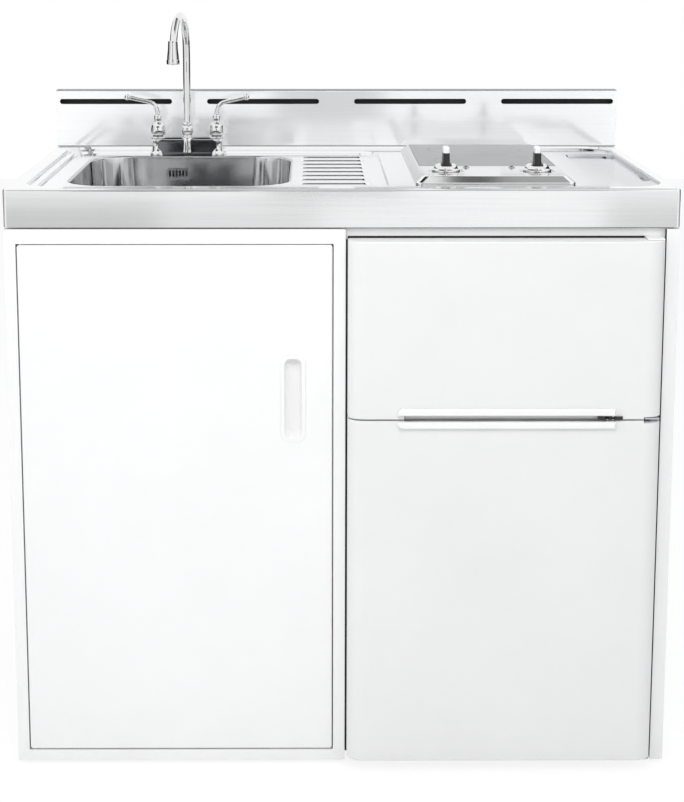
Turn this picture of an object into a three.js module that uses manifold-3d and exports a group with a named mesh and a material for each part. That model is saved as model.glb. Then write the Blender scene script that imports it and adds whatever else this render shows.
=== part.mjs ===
// Kitchenette unit: a pressed steel worktop with sink, tap and two-zone hob over a storage cabinet
// and a two-door refrigerator. Millimetres, +Z up. The front faces -Y and the left end is -X.
// The origin is on the floor under the middle of the unit.
import * as THREE from 'three';
import { mergeVertices } from 'three/addons/utils/BufferGeometryUtils.js';
import Module from 'manifold-3d';

const wasm = await Module();
wasm.setup();

// ---------------------------------------------------------------- driving dimensions
const gap = 0.3; // between two pieces that seat on each other
const roundGap = 0.5; // more round a shaft, for its facets
const width = 990;
const depth = 610;
const worktopTop = 891;
const footHeight = 6;

// Worktop sheet. Lengths along X run from the left end for the sink and from the right end for the hob.
const steel = 1.5; // sheet of worktop, bowl and backsplash
const apronHeight = 57;
const apronReturn = 16; // flange that rests on the cabinet
const edgeRadius = 4; // rolled top edge
const cornerRadius = 6; // upright corners of the apron
const rimLeft = 25;
const rimRight = 17;
const rimFront = 25;
const rimBack = 30;
const fieldRadius = 50;
const fieldDeep = 4; // pressed below the rim
const stepSlope = 3; // run of each pressed step
const sinkRimLeft = 40;
const sinkRimFront = 44;
const sinkRimBack = 66;
const sinkRadius = 40;
const sinkDeep = 4; // pressed below the field
const landingLeft = 38; // from the hob to the landing area at the right end
const landingWidth = 85;
const landingFront = 115;
const landingBack = 495;
const landingRadius = 22;
const fluteCount = 8;
const flutePitch = 51.4;
const fluteWidth = 24;
const fluteDeep = 3;
const fluteFirst = 119; // first groove behind the front edge
const fluteFromBowl = 16;
const fluteToEdge = 26;
const drainerToHob = 40;

// Sink bowl
const bowlLeft = 77;
const bowlWidth = 338;
const bowlFront = 98;
const bowlLength = 402; // front to back
const bowlRadius = 65;
const bowlDeep = 150;
const bowlDraft = 8;
const bowlFloorRadius = 30;
const bowlFlange = 5;
const drainHole = 92;
const overflowWidth = 42;
const overflowHeight = 20;
const overflowBelow = 30; // centre of the grille below the deck
const overflowFromCentre = -26;
const overflowBars = 6;
const overflowPlate = 1.6;
const overflowLip = 4; // of the plate round the hole

// Drain
const drainLip = 114;
const drainCupDeep = 52;
const drainLipRise = 2.6; // raised edge round the mouth
const drainWall = 2.4;
const drainSides = 16; // facets round cup and basket, which seat on each other
const tailDiameter = 38;
const tailLength = 120;
const tailNutHeight = 16;
const tailNutWall = 12;
const trapRadius = 38;
const trapOutlet = 130; // outlet run towards the back
const trapDrop = 40;
const trapRise = 8; // straight run after the U bend
const trapCollar = 6;
const basketDeep = 26;
const basketSlots = 8;
const basketSlotWidth = 4.4;
const basketFloor = 2;

// Backsplash
const splashHeight = 100;
const splashThickness = 25;
const ventCount = 4;
const ventPitch = 260;
const ventLength = 198;
const ventHeight = 9;
const ventUp = 79.6;

// Tap
const tapFromLeft = 235;
const tapBehindFront = 522;
const tapSpacing = 101.6;
const shankDiameter = 18;
const shankNut = 6; // nut's rim round the shank
const shankLength = 42;
const shankHole = 22;
const columnHeight = 34;
const columnRadius = 11.5;
const bridgeDepth = 22;
const hubRadius = 14;
const hubHeight = 25;
const leverRise = 66; // above the column's top
const leverReach = 52;
const leverRadius = 3.6;
const spoutTop = 243;
const spoutReach = 142;
const spoutRadius = 5.8;
const spoutHeading = 5; // degrees towards the left end
const spoutNutRadius = 11.5;
const spoutNutHeight = 26;
const aeratorLength = 39;
const aeratorRadius = 11;
const aeratorUp = 165; // its mouth above the deck

// Hob
const hobFromRight = 143;
const hobWidth = 240;
const hobLength = 476;
const hobFront = 72;
const hobRise = 8.5; // above the rim
const hobBevel = 12;
const hobCornerRadius = 10;
const hobSheet = 1.5;
const glassThickness = 4;
const glassLedge = 8;
const glassBevel = 0.6;
const stripLength = 126; // control strip in front of the glass
const hobLap = 12; // of the frame over the cut-out
const panDeep = 44;
const panFlange = 6;
const elementHeight = 24;
const elementMargin = 8.5; // from the glass's ends
const elementGap = 16; // between the two elements
const elementRim = 6;
const elementWell = 7; // the heater lies this far below the dish's edge
const elementStud = 14;
const knobSpread = 140;
const knobFromFront = 66; // behind the glass strip's front edge
const knobRadius = 22.5;
const knobSkirt = 12;
const knobHeight = 37.5;
const knobBlade = 13.5;
const switchSize = 36;
const switchHeight = 26;
const shaftRadius = 3;
const shaftLength = 14; // above the strip
const lampRadius = 4.5;
const lampStem = 3;
const lampSpread = 71;
const lampBehindKnob = 40;

// Storage cabinet
const sheet = 1.2; // cabinet, door and refrigerator sheet
const storageWidth = 501;
const frameDepth = 22;
const stileWidth = 17;
const topRail = 24;
const bottomRail = 16.4;
const doorGap = 1.5;
const doorThickness = 22;
const doorRadius = 4;
const linerFold = 5;
const pinInset = 6; // hinge pin from the door's edge and from its face
const pinRadius = 2.5;
const pinLength = 16;
const pullWidth = 33;
const pullHeight = 129;
const pullDeep = 14;
const pullRadius = 12;
const pullFromEdge = 42; // from the free edge to the cup
const pullCentre = 577; // above the floor
const pullLip = 1.6;
const pullWall = 1.5;
const panelFlange = 17;
const panelBack = 12; // rear edge of the side panels in front of the worktop's rear edge
const baseHeight = 15;
const cutoutWidth = 260;
const cutoutHeight = 220;
const cutoutUp = 380;
const footRadius = 8;
const footInset = 40;
const studRadius = 3;
const studLength = 9;
const catchWidth = 15;
const catchDepth = 14;
const catchHeight = 40;

// Refrigerator
const rightPanelWidth = 19.5;
const headerHeight = 18.5;
const headerBack = 10;
const headerLip = 12; // flange at the strip's lower edge
const headerFlange = 30; // and under the worktop
const caseSideGap = 5;
const caseTopGap = 5.5;
const caseFootHeight = 12;
const caseFootRadius = 14;
const caseFootInset = 40;
const caseFront = 13; // behind the cabinet front
const caseBackGap = 50;
const caseWall = 40;
const caseFloor = 46;
const caseMiddle = 44;
const caseCeiling = 36;
const linerWall = 2;
const freezerFloorUp = 29.7; // above the doors' seam
const cavityBackGap = 52;
const compressorBay = 150;
const compressorBayHeight = 180;
const shellProud = 33; // door faces in front of the cabinet front
const shellThickness = 36;
const shellSoften = 2; // softened top and bottom edges
const shellEdgeX = 26;
const shellEdgeY = 18;
const shellLeftGap = 2.8;
const shellRightGap = 5.1;
const shellTop = 818;
const shellSplit = 552;
const shellSeam = 2;
const shellBottom = 19;
const shellHinge = 11; // pin from the doors' right edge
const hingePinForward = 14; // pin in front of the cabinet front
const hingePlate = 2.6;
const hingePlateLength = 30;
const hingePinRadius = 3;
const hingePinLength = 11;
const hingePinEnd = 7; // of the top and bottom pins inside the doors
const hingeNotch = 3.6;
const hingeTabInset = 1.4; // from the doors' right edge
const hingeTabFront = 9; // in front of the pin
const hingeTabHalf = 12; // left of the pin
const hingeTabHeight = 16; // screwed tab, up and down from the seam
const hingeTopBack = 50; // rear edge of the top hinge behind the case's front
const gasketInset = 13.4;
const gasketWidth = 11;
const gripLeft = 73; // from the doors' left edge
const gripLength = 321;
const gripTaper = 10;
const gripHeight = 10.5;
const gripProud = 7;
const gripFinger = 7; // finger gap over the seam
const gripBevel = 1.4;
const pocketDeep = 19;
const pocketShort = 0.5; // of the grip's outer edge
const pocketInset = 12; // from the grip's right end
const trayInset = 12; // door trays inside the tubs' sides
const trayMargin = 14; // and inside their tops and floors
const trayReach = 10; // into the case
const trayDraft = 4;
const binDeep = 42;
const binHeight = 60;
const binWall = 2;
const binInset = 22;
const binLevelsUp = [60, 280]; // above the tub's floor
const shelfThickness = 4;
const shelfFrontGap = 30;
const shelfBackGap = 20;
const crisperHeight = 120;
const crisperDepth = 200;
const crisperWall = 2.5;
const crisperInset = 6;
const crisperDraft = 8;
const crisperFrontGap = 20; // behind the door's bins
const shelfOverCrisper = 30;
const shelfRail = 8;
const compressorRadius = 58;
const compressorHeight = 138;
const compressorPlate = 144;
const compressorBase = 9; // thickness of its foot plate
const compressorAside = 40; // right of the case's middle
const condenserRadius = 2.5; // of its tube
const condenserBend = 24;
const condenserRuns = 5;
const condenserInset = 50;
const condenserUp = 60; // above the compressor bay

// ---------------------------------------------------------------- solids
const left = -width / 2;
const right = width / 2;
const past = 10; // how far a cutting tool runs past a face

/** A closed geometry as a solid, its faces turned outwards. */
function solid(geometry) {
  const bare = new THREE.BufferGeometry();
  bare.setAttribute('position', geometry.attributes.position.clone());
  if (geometry.index) bare.setIndex(geometry.index);
  const merged = mergeVertices(bare, 1e-4);
  const point = merged.attributes.position.array;
  const corners = merged.index.array;
  const triangles = [];
  let volume = 0;
  for (let i = 0; i < corners.length; i += 3) {
    const [a, b, c] = [corners[i], corners[i + 1], corners[i + 2]];
    if (a === b || b === c || c === a) continue;
    triangles.push([a, b, c]);
    const [p, q, r] = [a, b, c].map((k) => new THREE.Vector3().fromArray(point, 3 * k));
    volume += p.dot(q.cross(r));
  }
  const wound = volume < 0 ? triangles.map(([a, b, c]) => [a, c, b]) : triangles;
  return new wasm.Manifold(
    new wasm.Mesh({ numProp: 3, vertProperties: point, triVerts: Uint32Array.from(wound.flat()) }),
  );
}

const move = (body, x, y, z) => body.translate([x, y, z]);
const join = (...bodies) => bodies.reduce((sum, body) => sum.add(body));
const cut = (body, ...tools) => tools.reduce((rest, tool) => rest.subtract(tool), body);

/** A block between two corners. */
function block(x0, x1, y0, y1, z0, z1) {
  const geometry = new THREE.BoxGeometry(x1 - x0, y1 - y0, z1 - z0);
  geometry.translate((x0 + x1) / 2, (y0 + y1) / 2, (z0 + z1) / 2);
  return solid(geometry);
}

/** An upright cylinder from z0 to z1. */
function rod(x, y, z0, z1, radius, sides = 16) {
  const geometry = new THREE.CylinderGeometry(radius, radius, z1 - z0, sides);
  geometry.rotateX(Math.PI / 2);
  geometry.translate(x, y, (z0 + z1) / 2);
  return solid(geometry);
}

/** A profile of [radius, z] points turned about the Z axis. It starts and ends on the axis or closes. */
function turned(profile, sides = 20) {
  const points = profile.map(([r, z]) => new THREE.Vector2(r, z));
  const geometry = new THREE.LatheGeometry(points, sides);
  geometry.rotateX(Math.PI / 2);
  return solid(geometry);
}

/** A [u, v] outline pushed along one axis: u and v are the next two axes in the order X, Y, Z. */
function prism(outline, axis, from, to, holes = []) {
  const path = (points) => new THREE.Shape(points.map(([u, v]) => new THREE.Vector2(u, v)));
  const shape = path(outline);
  shape.holes = holes.map(path);
  const geometry = new THREE.ExtrudeGeometry(shape, { depth: to - from, bevelEnabled: false });
  geometry.translate(0, 0, from);
  const [x, y, z] = [0, 1, 2].map((k) => new THREE.Vector3().setComponent(k, 1));
  const bases = { x: [y, z, x], y: [z, x, y], z: [x, y, z] };
  geometry.applyMatrix4(new THREE.Matrix4().makeBasis(...bases[axis]));
  return solid(geometry);
}

const sharp = 0.4; // least corner radius

/** A rectangle with round corners, as points in order. */
function roundRect(x0, x1, y0, y1, radius, steps = 4) {
  const r = Math.max(sharp, Math.min(radius, (x1 - x0) / 2 - 0.01, (y1 - y0) / 2 - 0.01));
  const points = [];
  const middles = [[x1 - r, y1 - r], [x0 + r, y1 - r], [x0 + r, y0 + r], [x1 - r, y0 + r]];
  middles.forEach(([x, y], quarter) => {
    for (let i = 0; i <= steps; i += 1) {
      const angle = (quarter + i / steps) * Math.PI / 2;
      points.push([x + r * Math.cos(angle), y + r * Math.sin(angle)]);
    }
  });
  return points;
}

/** A closed body through rings of as many points, each ring a list of [x, y] at a height. */
function loft(rings) {
  const flat = (points) => points.map(([x, y]) => new THREE.Vector2(x, y));
  const backwards = THREE.ShapeUtils.isClockWise(flat(rings[0].points));
  const turnedRings = rings.map(({ points, z }) => ({ points: backwards ? points.toReversed() : points, z }));
  const count = rings[0].points.length;
  const position = turnedRings.flatMap(({ points, z }) => points.flatMap(([x, y]) => [x, y, z]));
  const index = [];
  for (let ring = 0; ring + 1 < rings.length; ring += 1) {
    for (let i = 0; i < count; i += 1) {
      const [a, b] = [ring * count + i, ring * count + ((i + 1) % count)];
      index.push(a, b, b + count, a, b + count, a + count);
    }
  }
  const last = (rings.length - 1) * count;
  const cap = ({ points }) => THREE.ShapeUtils.triangulateShape(flat(points), []);
  cap(turnedRings[0]).forEach(([a, b, c]) => index.push(a, c, b));
  cap(turnedRings.at(-1)).forEach(([a, b, c]) => index.push(last + a, last + b, last + c));
  const geometry = new THREE.BufferGeometry();
  geometry.setAttribute('position', new THREE.Float32BufferAttribute(position, 3));
  geometry.setIndex(index);
  return solid(geometry);
}

/** A round bar, or a pipe when a bore is given, along a curve. */
function pipe(curve, radius, steps, sides, bore = 0) {
  const circle = (r) => Array.from({ length: sides }, (_, i) => {
    const angle = (i / sides) * Math.PI * 2;
    return new THREE.Vector2(r * Math.cos(angle), r * Math.sin(angle));
  });
  const shape = new THREE.Shape(circle(radius));
  if (bore) shape.holes = [new THREE.Path(circle(bore))];
  return solid(new THREE.ExtrudeGeometry(shape, { extrudePath: curve, steps }));
}

const turn = (body, axis, degrees) => body.rotate(
  ['x', 'y', 'z'].map((name) => (name === axis ? degrees : 0)),
);

// ---------------------------------------------------------------- finishes
const finishes = {
  worktop_steel: { color: 0xc9ccd0, roughness: 0.28, metalness: 1 },
  chrome: { color: 0xe4e7ea, roughness: 0.06, metalness: 1 },
  ceramic_glass: { color: 0x17181a, roughness: 0.08, metalness: 0 },
  heater: { color: 0x5a4a42, roughness: 0.7, metalness: 0.2 },
  black_plastic: { color: 0x121214, roughness: 0.35, metalness: 0 },
  lamp: { color: 0xb8231c, roughness: 0.2, metalness: 0 },
  white_enamel: { color: 0xf4f5f6, roughness: 0.35, metalness: 0 },
  door_white: { color: 0xeaebec, roughness: 0.4, metalness: 0 },
  white_plastic: { color: 0xf1f2f3, roughness: 0.45, metalness: 0 },
  gasket_rubber: { color: 0xd4d6d8, roughness: 0.8, metalness: 0 },
  zinc: { color: 0xb9bcc0, roughness: 0.45, metalness: 0.9 },
  clear_glass: { color: 0xd9e6ec, roughness: 0.05, metalness: 0 },
  clear_plastic: { color: 0xd9e6ec, roughness: 0.1, metalness: 0 },
  waste_plastic: { color: 0xe6e6e2, roughness: 0.5, metalness: 0 },
  black_enamel: { color: 0x1b1c1e, roughness: 0.5, metalness: 0.3 },
};

/** A named mesh of a solid, in one of the finishes. */
function piece(name, body, finish) {
  const mesh = body.getMesh();
  const geometry = new THREE.BufferGeometry();
  const position = new THREE.Float32BufferAttribute(new Float32Array(mesh.vertProperties), 3);
  geometry.setAttribute('position', position);
  geometry.setIndex(new THREE.BufferAttribute(new Uint32Array(mesh.triVerts), 1));
  geometry.computeVertexNormals();
  const made = new THREE.Mesh(geometry, new THREE.MeshStandardMaterial(finishes[finish]));
  made.name = name;
  return made;
}

/** A group at a place, turned about Z by some degrees. */
function group(pieces, x = 0, y = 0, z = 0, heading = 0) {
  const made = new THREE.Group();
  made.position.set(x, y, z);
  made.rotation.z = THREE.MathUtils.degToRad(heading);
  made.add(...pieces);
  return made;
}

// ---------------------------------------------------------------- places shared by several pieces
const fieldZ = -fieldDeep;
const deckZ = fieldZ - sinkDeep; // drainer and sink surround, below the rim plane
const hobLeft = right - hobFromRight - hobWidth;
const hobRight = hobLeft + hobWidth;
const hobBack = hobFront + hobLength;
const bowl = {
  x0: left + bowlLeft,
  x1: left + bowlLeft + bowlWidth,
  y0: bowlFront,
  y1: bowlFront + bowlLength,
};
const bowlX = (bowl.x0 + bowl.x1) / 2;
const bowlY = (bowl.y0 + bowl.y1) / 2;
const bowlTopZ = deckZ - steel - gap;
const bowlFloorZ = deckZ - bowlDeep;
const tapX = left + tapFromLeft;
const tapFeet = [-tapSpacing / 2, tapSpacing / 2];
const cabinetTop = worktopTop - apronHeight - gap;
const storageRight = left + storageWidth;
const panelRear = depth - panelBack;

/** The outline of an area grown by g, as a ring at height z. */
const ring = (area, g, z, steps) => ({
  points: roundRect(area.x0 - g, area.x1 + g, area.y0 - g, area.y1 + g, area.r + g, steps),
  z,
});

// ---------------------------------------------------------------- worktop
const field = { x0: left + rimLeft, x1: right - rimRight, y0: rimFront, y1: depth - rimBack, r: fieldRadius };
const drainer = {
  x0: left + sinkRimLeft,
  x1: hobLeft - drainerToHob,
  y0: sinkRimFront,
  y1: depth - sinkRimBack,
  r: sinkRadius,
};
const landing = {
  x0: hobRight + landingLeft,
  x1: hobRight + landingLeft + landingWidth,
  y0: landingFront,
  y1: landingBack,
  r: landingRadius,
};

/** A pressed area: its mouth at height top, its floor deep below, both sunk by g for the underside. */
const pressing = (area, top, deep, slope, g, steps) => loft([
  ring(area, g, 1, steps),
  ring(area, g, top - (top < 0 ? g : 0), steps),
  ring(area, g - slope, top - deep - g, steps),
]);

/** The worktop as a full form, shrunk by g: the sheet lies between the forms of g 0 and g steel. */
function worktopForm(g) {
  const outline = { x0: left, x1: right, y0: 0, y1: depth, r: cornerRadius };
  const roll = edgeRadius - g;
  const onRoll = 0.3 * roll; // a point on the rolled edge, as far in as it is down
  const body = g === 0
    ? loft([
      ring(outline, 0, -apronHeight, 2),
      ring(outline, 0, -edgeRadius, 2),
      ring(outline, -onRoll, -onRoll, 2),
      ring(outline, -roll, 0, 2),
    ])
    : join(
      loft([
        ring(outline, -g, g - apronHeight, 2),
        ring(outline, -g, -edgeRadius, 2),
        ring(outline, -g - onRoll, -g - onRoll, 2),
        ring(outline, -g - roll, -g, 2),
      ]),
      loft([
        ring(outline, -apronReturn, -apronHeight - past, 2),
        ring(outline, -apronReturn, 2 * g - apronHeight, 2),
      ]),
    );
  const flutes = Array.from({ length: fluteCount }, (_, i) => {
    const y = fluteFirst + i * flutePitch;
    const area = {
      x0: bowl.x1 + fluteFromBowl,
      x1: drainer.x1 - fluteToEdge,
      y0: y - fluteWidth / 2,
      y1: y + fluteWidth / 2,
      r: fluteWidth / 2,
    };
    return pressing(area, deckZ, fluteDeep, fluteDeep, g, 2);
  });
  return cut(
    body,
    pressing(field, 0, fieldDeep, stepSlope, g, 4),
    pressing(drainer, fieldZ, sinkDeep, stepSlope, g, 4),
    pressing(landing, fieldZ, sinkDeep, stepSlope, g, 3),
    ...flutes,
  );
}

const bowlArea = { ...bowl, r: bowlRadius };
const bowlSteps = 5; // facets of the bowl's corners
const hobCut = {
  x0: hobLeft + hobLap,
  x1: hobRight - hobLap,
  y0: hobFront + hobLap,
  y1: hobBack - hobLap,
  r: hobCornerRadius,
};

function worktop() {
  const through = (area, steps) => loft([ring(area, 0, deckZ - past, steps), ring(area, 0, past, steps)]);
  const shankHoles = tapFeet.map((x) => rod(tapX + x, tapBehindFront, deckZ - past, past, shankHole / 2, 12));
  return cut(
    worktopForm(0),
    worktopForm(steel),
    through(bowlArea, bowlSteps),
    through(hobCut, 2),
    ...shankHoles,
  );
}

function backsplash() {
  const [y0, y1] = [depth - splashThickness, depth];
  const chamfer = 3;
  const side = (g) => {
    const open = g ? past : 0;
    const corner = chamfer + g * 0.4;
    return [
      [y0 + g, gap - open],
      [y1 + open, gap - open],
      [y1 + open, splashHeight - g],
      [y0 + corner, splashHeight - g],
      [y0 + g, splashHeight - corner],
    ];
  };
  const vents = Array.from({ length: ventCount }, (_, i) => {
    const x = (i - (ventCount - 1) / 2) * ventPitch;
    const outline = roundRect(ventUp - ventHeight / 2, ventUp + ventHeight / 2,
      x - ventLength / 2, x + ventLength / 2, ventHeight / 2, 3);
    return prism(outline, 'y', y0 - past, y0 + past);
  });
  return cut(
    prism(side(0), 'x', left, right),
    prism(side(steel), 'x', left + steel, right - steel),
    ...vents,
  );
}

// ---------------------------------------------------------------- sink
/** The bowl's hollow grown by g, from its floor up to the height top. */
function bowlForm(g, top) {
  const floor = bowlFloorZ - g;
  const radius = bowlFloorRadius + g;
  const wall = bowlDraft * (1 - bowlFloorRadius / bowlDeep);
  const rings = [0, 0.35, 0.7, 1].map((share) => {
    const angle = share * Math.PI / 2;
    const inwards = wall + radius * (1 - Math.sin(angle));
    return ring(bowlArea, g - inwards, floor + radius * (1 - Math.cos(angle)), bowlSteps);
  });
  return loft([...rings, ring(bowlArea, g, top, bowlSteps)]);
}

function sinkBowl() {
  const flange = loft([
    ring(bowlArea, bowlFlange, bowlTopZ - steel, bowlSteps),
    ring(bowlArea, bowlFlange, bowlTopZ, bowlSteps),
  ]);
  const x = bowlX + overflowFromCentre;
  const z = deckZ - overflowBelow;
  const halfWidth = overflowWidth / 2 - overflowLip;
  const halfHeight = overflowHeight / 2 - overflowLip;
  const wallY = bowl.y1 - bowlWallIn(overflowBelow);
  return cut(
    join(bowlForm(steel, bowlTopZ), flange),
    bowlForm(0, bowlTopZ + past),
    rod(bowlX, bowlY, bowlFloorZ - past, bowlFloorZ + past, drainHole / 2, 20),
    block(x - halfWidth, x + halfWidth, wallY - past, wallY + past, z - halfHeight, z + halfHeight),
  );
}

/** How far the bowl's wall has come in at some depth below the deck. */
const bowlWallIn = (below) => (bowlDraft * below) / bowlDeep;

/** The barred plate over the overflow hole in the bowl's back wall. */
function overflowGrille() {
  const [halfWidth, halfHeight] = [overflowWidth / 2, overflowHeight / 2];
  const plate = roundRect(-halfHeight, halfHeight, -halfWidth, halfWidth, overflowLip, 2);
  const pitch = (overflowWidth - 2 * overflowLip) / overflowBars;
  const slotHalf = 0.3 * pitch;
  const slots = Array.from({ length: overflowBars }, (_, i) => {
    const x = (i - (overflowBars - 1) / 2) * pitch;
    return roundRect(overflowLip - halfHeight, halfHeight - overflowLip, x - slotHalf, x + slotHalf, 1, 1);
  });
  return prism(plate, 'y', -overflowPlate, 0, slots);
}

/** The cup in the bowl's floor. Its height 0 is the bowl's floor. */
function drainCup() {
  const inner = drainHole / 2 - gap - roundGap; // neck through the bowl's floor
  const mouth = tailDiameter / 2 - drainWall;
  const underside = -drainCupDeep;
  return turned([
    [drainLip / 2, gap],
    [drainLip / 2, gap + 1],
    [inner + 2, gap + drainLipRise],
    [inner - drainWall, -6],
    [inner - drainWall - 3, underside + 6],
    [mouth + 4, underside + drainWall],
    [mouth, underside - 8],
    [mouth + drainWall, underside - 8],
    [mouth + drainWall, underside],
    [inner - 6, underside],
    [inner - 1, underside + 8],
    [inner, gap],
    [drainLip / 2, gap],
  ], drainSides);
}

/** The lift-out basket, hanging by its rim in the drain cup. */
function strainerBasket() {
  const rim = drainHole / 2 - gap;
  const wall = rim - 6;
  const floor = -basketDeep;
  const body = turned([
    [0, floor],
    [wall - 4, floor],
    [wall - 1, floor + 5],
    [wall, -2],
    [rim, 1.7],
    [rim, 3],
    [wall - 2, 0.4],
    [wall - 3.4, floor + 6.5],
    [wall - 5, floor + basketFloor],
    [4, floor + basketFloor],
    [3, -6],
    [8, -4],
    [8.6, 0],
    [6, 2.4],
    [0, 2.8],
  ], drainSides);
  const slots = Array.from({ length: basketSlots }, (_, i) => turn(
    block(12, wall - 8, -basketSlotWidth / 2, basketSlotWidth / 2, floor - past, floor + 2 * basketFloor),
    'z',
    (360 / basketSlots) * i,
  ));
  return cut(body, ...slots);
}

const tailRadius = tailDiameter / 2;
const tailTop = bowlFloorZ - drainCupDeep - gap;
const tailBottom = tailTop - tailLength;

/** The tailpiece below the cup, with the nut that holds it. Its height 0 is the cup's underside. */
function drainTailpiece() {
  const bore = tailRadius + gap + roundGap;
  const inner = tailRadius - drainWall;
  const nut = cut(
    rod(0, 0, -tailNutHeight, 0, tailRadius + tailNutWall, 8),
    rod(0, 0, -tailNutHeight - past, past, bore, 16),
  );
  const tube = turned([
    [inner, 6 - tailNutHeight],
    [bore + 1, 6 - tailNutHeight],
    [bore + 1, 2 - tailNutHeight],
    [tailRadius, -tailNutHeight],
    [tailRadius, -tailLength],
    [inner, -tailLength],
    [inner, 6 - tailNutHeight],
  ], 16);
  return join(nut, tube);
}

/** The water trap: a U bend from under the tailpiece and a run to the back. */
function wasteTrap() {
  const curve = new THREE.CurvePath();
  const at = (y, z) => new THREE.Vector3(0, y, z);
  const arc = (y, z, from, to) => {
    const points = [0, 0.25, 0.5, 0.75, 1].map((share) => {
      const angle = THREE.MathUtils.degToRad(from + (to - from) * share);
      return at(y + trapRadius * Math.cos(angle), z + trapRadius * Math.sin(angle));
    });
    return new THREE.CatmullRomCurve3(points);
  };
  const bore = tailRadius - drainWall;
  const bendZ = trapRise - trapDrop;
  curve.add(new THREE.LineCurve3(at(0, 0), at(0, -trapDrop)));
  curve.add(arc(trapRadius, -trapDrop, 180, 360));
  curve.add(new THREE.LineCurve3(at(2 * trapRadius, -trapDrop), at(2 * trapRadius, bendZ)));
  curve.add(arc(3 * trapRadius, bendZ, 180, 90));
  curve.add(new THREE.LineCurve3(
    at(3 * trapRadius, trapRadius + bendZ), at(3 * trapRadius + trapOutlet, trapRadius + bendZ),
  ));
  const collar = cut(
    rod(0, 0, -tailNutHeight, 0, tailRadius + trapCollar, 12),
    rod(0, 0, -tailNutHeight - past, past, bore, 12),
  );
  return join(pipe(curve, tailRadius, 17, 10, bore), collar);
}

// ---------------------------------------------------------------- tap, from the middle of its foot
const hubZ = columnHeight + gap;
const bridgeTop = columnHeight - 3;
const spoutSocket = 17; // depth of the spout's seat in the bridge

function tapBody() {
  const column = [
    [0, gap],
    [columnRadius + 3.5, gap],
    [columnRadius + 3.5, 3],
    [columnRadius + 0.5, 8],
    [columnRadius - 0.5, 14],
    [columnRadius - 0.5, columnHeight - 9],
    [columnRadius + 2, columnHeight - 6],
    [columnRadius + 2, columnHeight - 3],
    [columnRadius - 3, columnHeight],
    [0, columnHeight],
  ];
  const nutTop = -steel - gap;
  const shank = join(
    rod(0, 0, -shankLength, 1, shankDiameter / 2, 10),
    rod(0, 0, nutTop - 8, nutTop, shankDiameter / 2 + shankNut, 6),
  );
  const feet = tapFeet.flatMap((x) => [move(turned(column, 12), x, 0, 0), move(shank, x, 0, 0)]);
  const half = tapSpacing / 2;
  const level = (wider, z) => {
    const y = bridgeDepth / 2 + wider;
    return { points: roundRect(-half, half, -y, y, 3, 1), z };
  };
  const bridge = loft([
    level(2, gap), level(2, 4), level(0, 7), level(-1, bridgeTop - 3), level(-4, bridgeTop),
  ]);
  const boss = rod(0, 0, gap, bridgeTop, spoutNutRadius, 14);
  const socket = rod(0, 0, bridgeTop - spoutSocket, columnHeight + past, spoutRadius + gap, 14);
  return cut(join(bridge, ...feet, boss), socket);
}

const spoutNutZ = bridgeTop + gap;

/** The ball-shaped nut that holds the spout. */
function spoutNut() {
  const r = spoutNutRadius;
  const bore = spoutRadius + gap;
  const h = spoutNutHeight;
  return turned([
    [bore, 0], [r - 2, 0], [r - 3, 3], [r, h * 0.3], [r, h * 0.55], [r - 3.4, h * 0.8],
    [r - 2.4, h * 0.88], [bore + 1, h], [bore, h], [bore, 0],
  ], 14);
}

/** The gooseneck: straight out of the nut, over the top and down to the nozzle. */
function spout() {
  const at = (y, z) => new THREE.Vector3(0, y, z);
  const tip = aeratorUp + aeratorLength;
  const curve = new THREE.CurvePath();
  const bend = spoutTop - spoutReach * 0.62;
  curve.add(new THREE.LineCurve3(at(0, bridgeTop - spoutSocket + 2), at(0, bend)));
  const rise = spoutTop - bend;
  curve.add(new THREE.CubicBezierCurve3(
    at(0, bend), at(0, bend + rise * 1.02), at(-spoutReach * 0.22, spoutTop), at(-spoutReach * 0.5, spoutTop),
  ));
  curve.add(new THREE.CubicBezierCurve3(
    at(-spoutReach * 0.5, spoutTop), at(-spoutReach * 0.84, spoutTop),
    at(-spoutReach, spoutTop - 14), at(-spoutReach, tip - 6),
  ));
  return pipe(curve, spoutRadius, 24, 10);
}

/** The cone at the spout's end, with the aerator's recess in its mouth. */
function aerator() {
  const r = aeratorRadius;
  const h = aeratorLength;
  const bore = spoutRadius + gap + 2 * roundGap;
  return turned([
    [0, 4], [r - 3, 4], [r - 3, 0], [r - 0.6, 0], [r, 1], [r, 7], [r - 1.4, 8.4],
    [bore + 1.6, h - 4], [bore + 1, h], [bore, h], [bore, h - 7], [0, h - 7],
  ], 14);
}

/** A lever handle that reaches outwards along X, side -1 or 1. Its height 0 is the hub's foot. */
function tapHandle(side) {
  const r = hubRadius;
  const h = hubHeight;
  const hub = turned([
    [0, 0], [r - 4, 0], [r - 1, 3], [r, h * 0.4], [r - 1, h * 0.64], [r - 5, h * 0.86],
    [r - 7, h], [r - 6.4, h + 6], [r - 8.4, h + 11], [0, h + 12],
  ], 14);
  const at = (x, z) => new THREE.Vector3(side * x, 0, z);
  const arm = new THREE.CatmullRomCurve3([
    at(0, h + 8),
    at(leverReach * 0.06, leverRise * 0.72),
    at(leverReach * 0.28, leverRise * 0.87),
    at(leverReach * 0.62, leverRise * 0.94),
    at(leverReach, leverRise),
  ]);
  const knob = move(turned([
    [0, -leverRadius - 1.6], [3.6, -leverRadius], [5.4, -1.6], [5.4, 1.6], [3.6, leverRadius],
    [0, leverRadius + 1.6],
  ], 8), side * leverReach, 0, leverRise);
  return join(hub, pipe(arm, leverRadius, 9, 8), knob);
}

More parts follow.
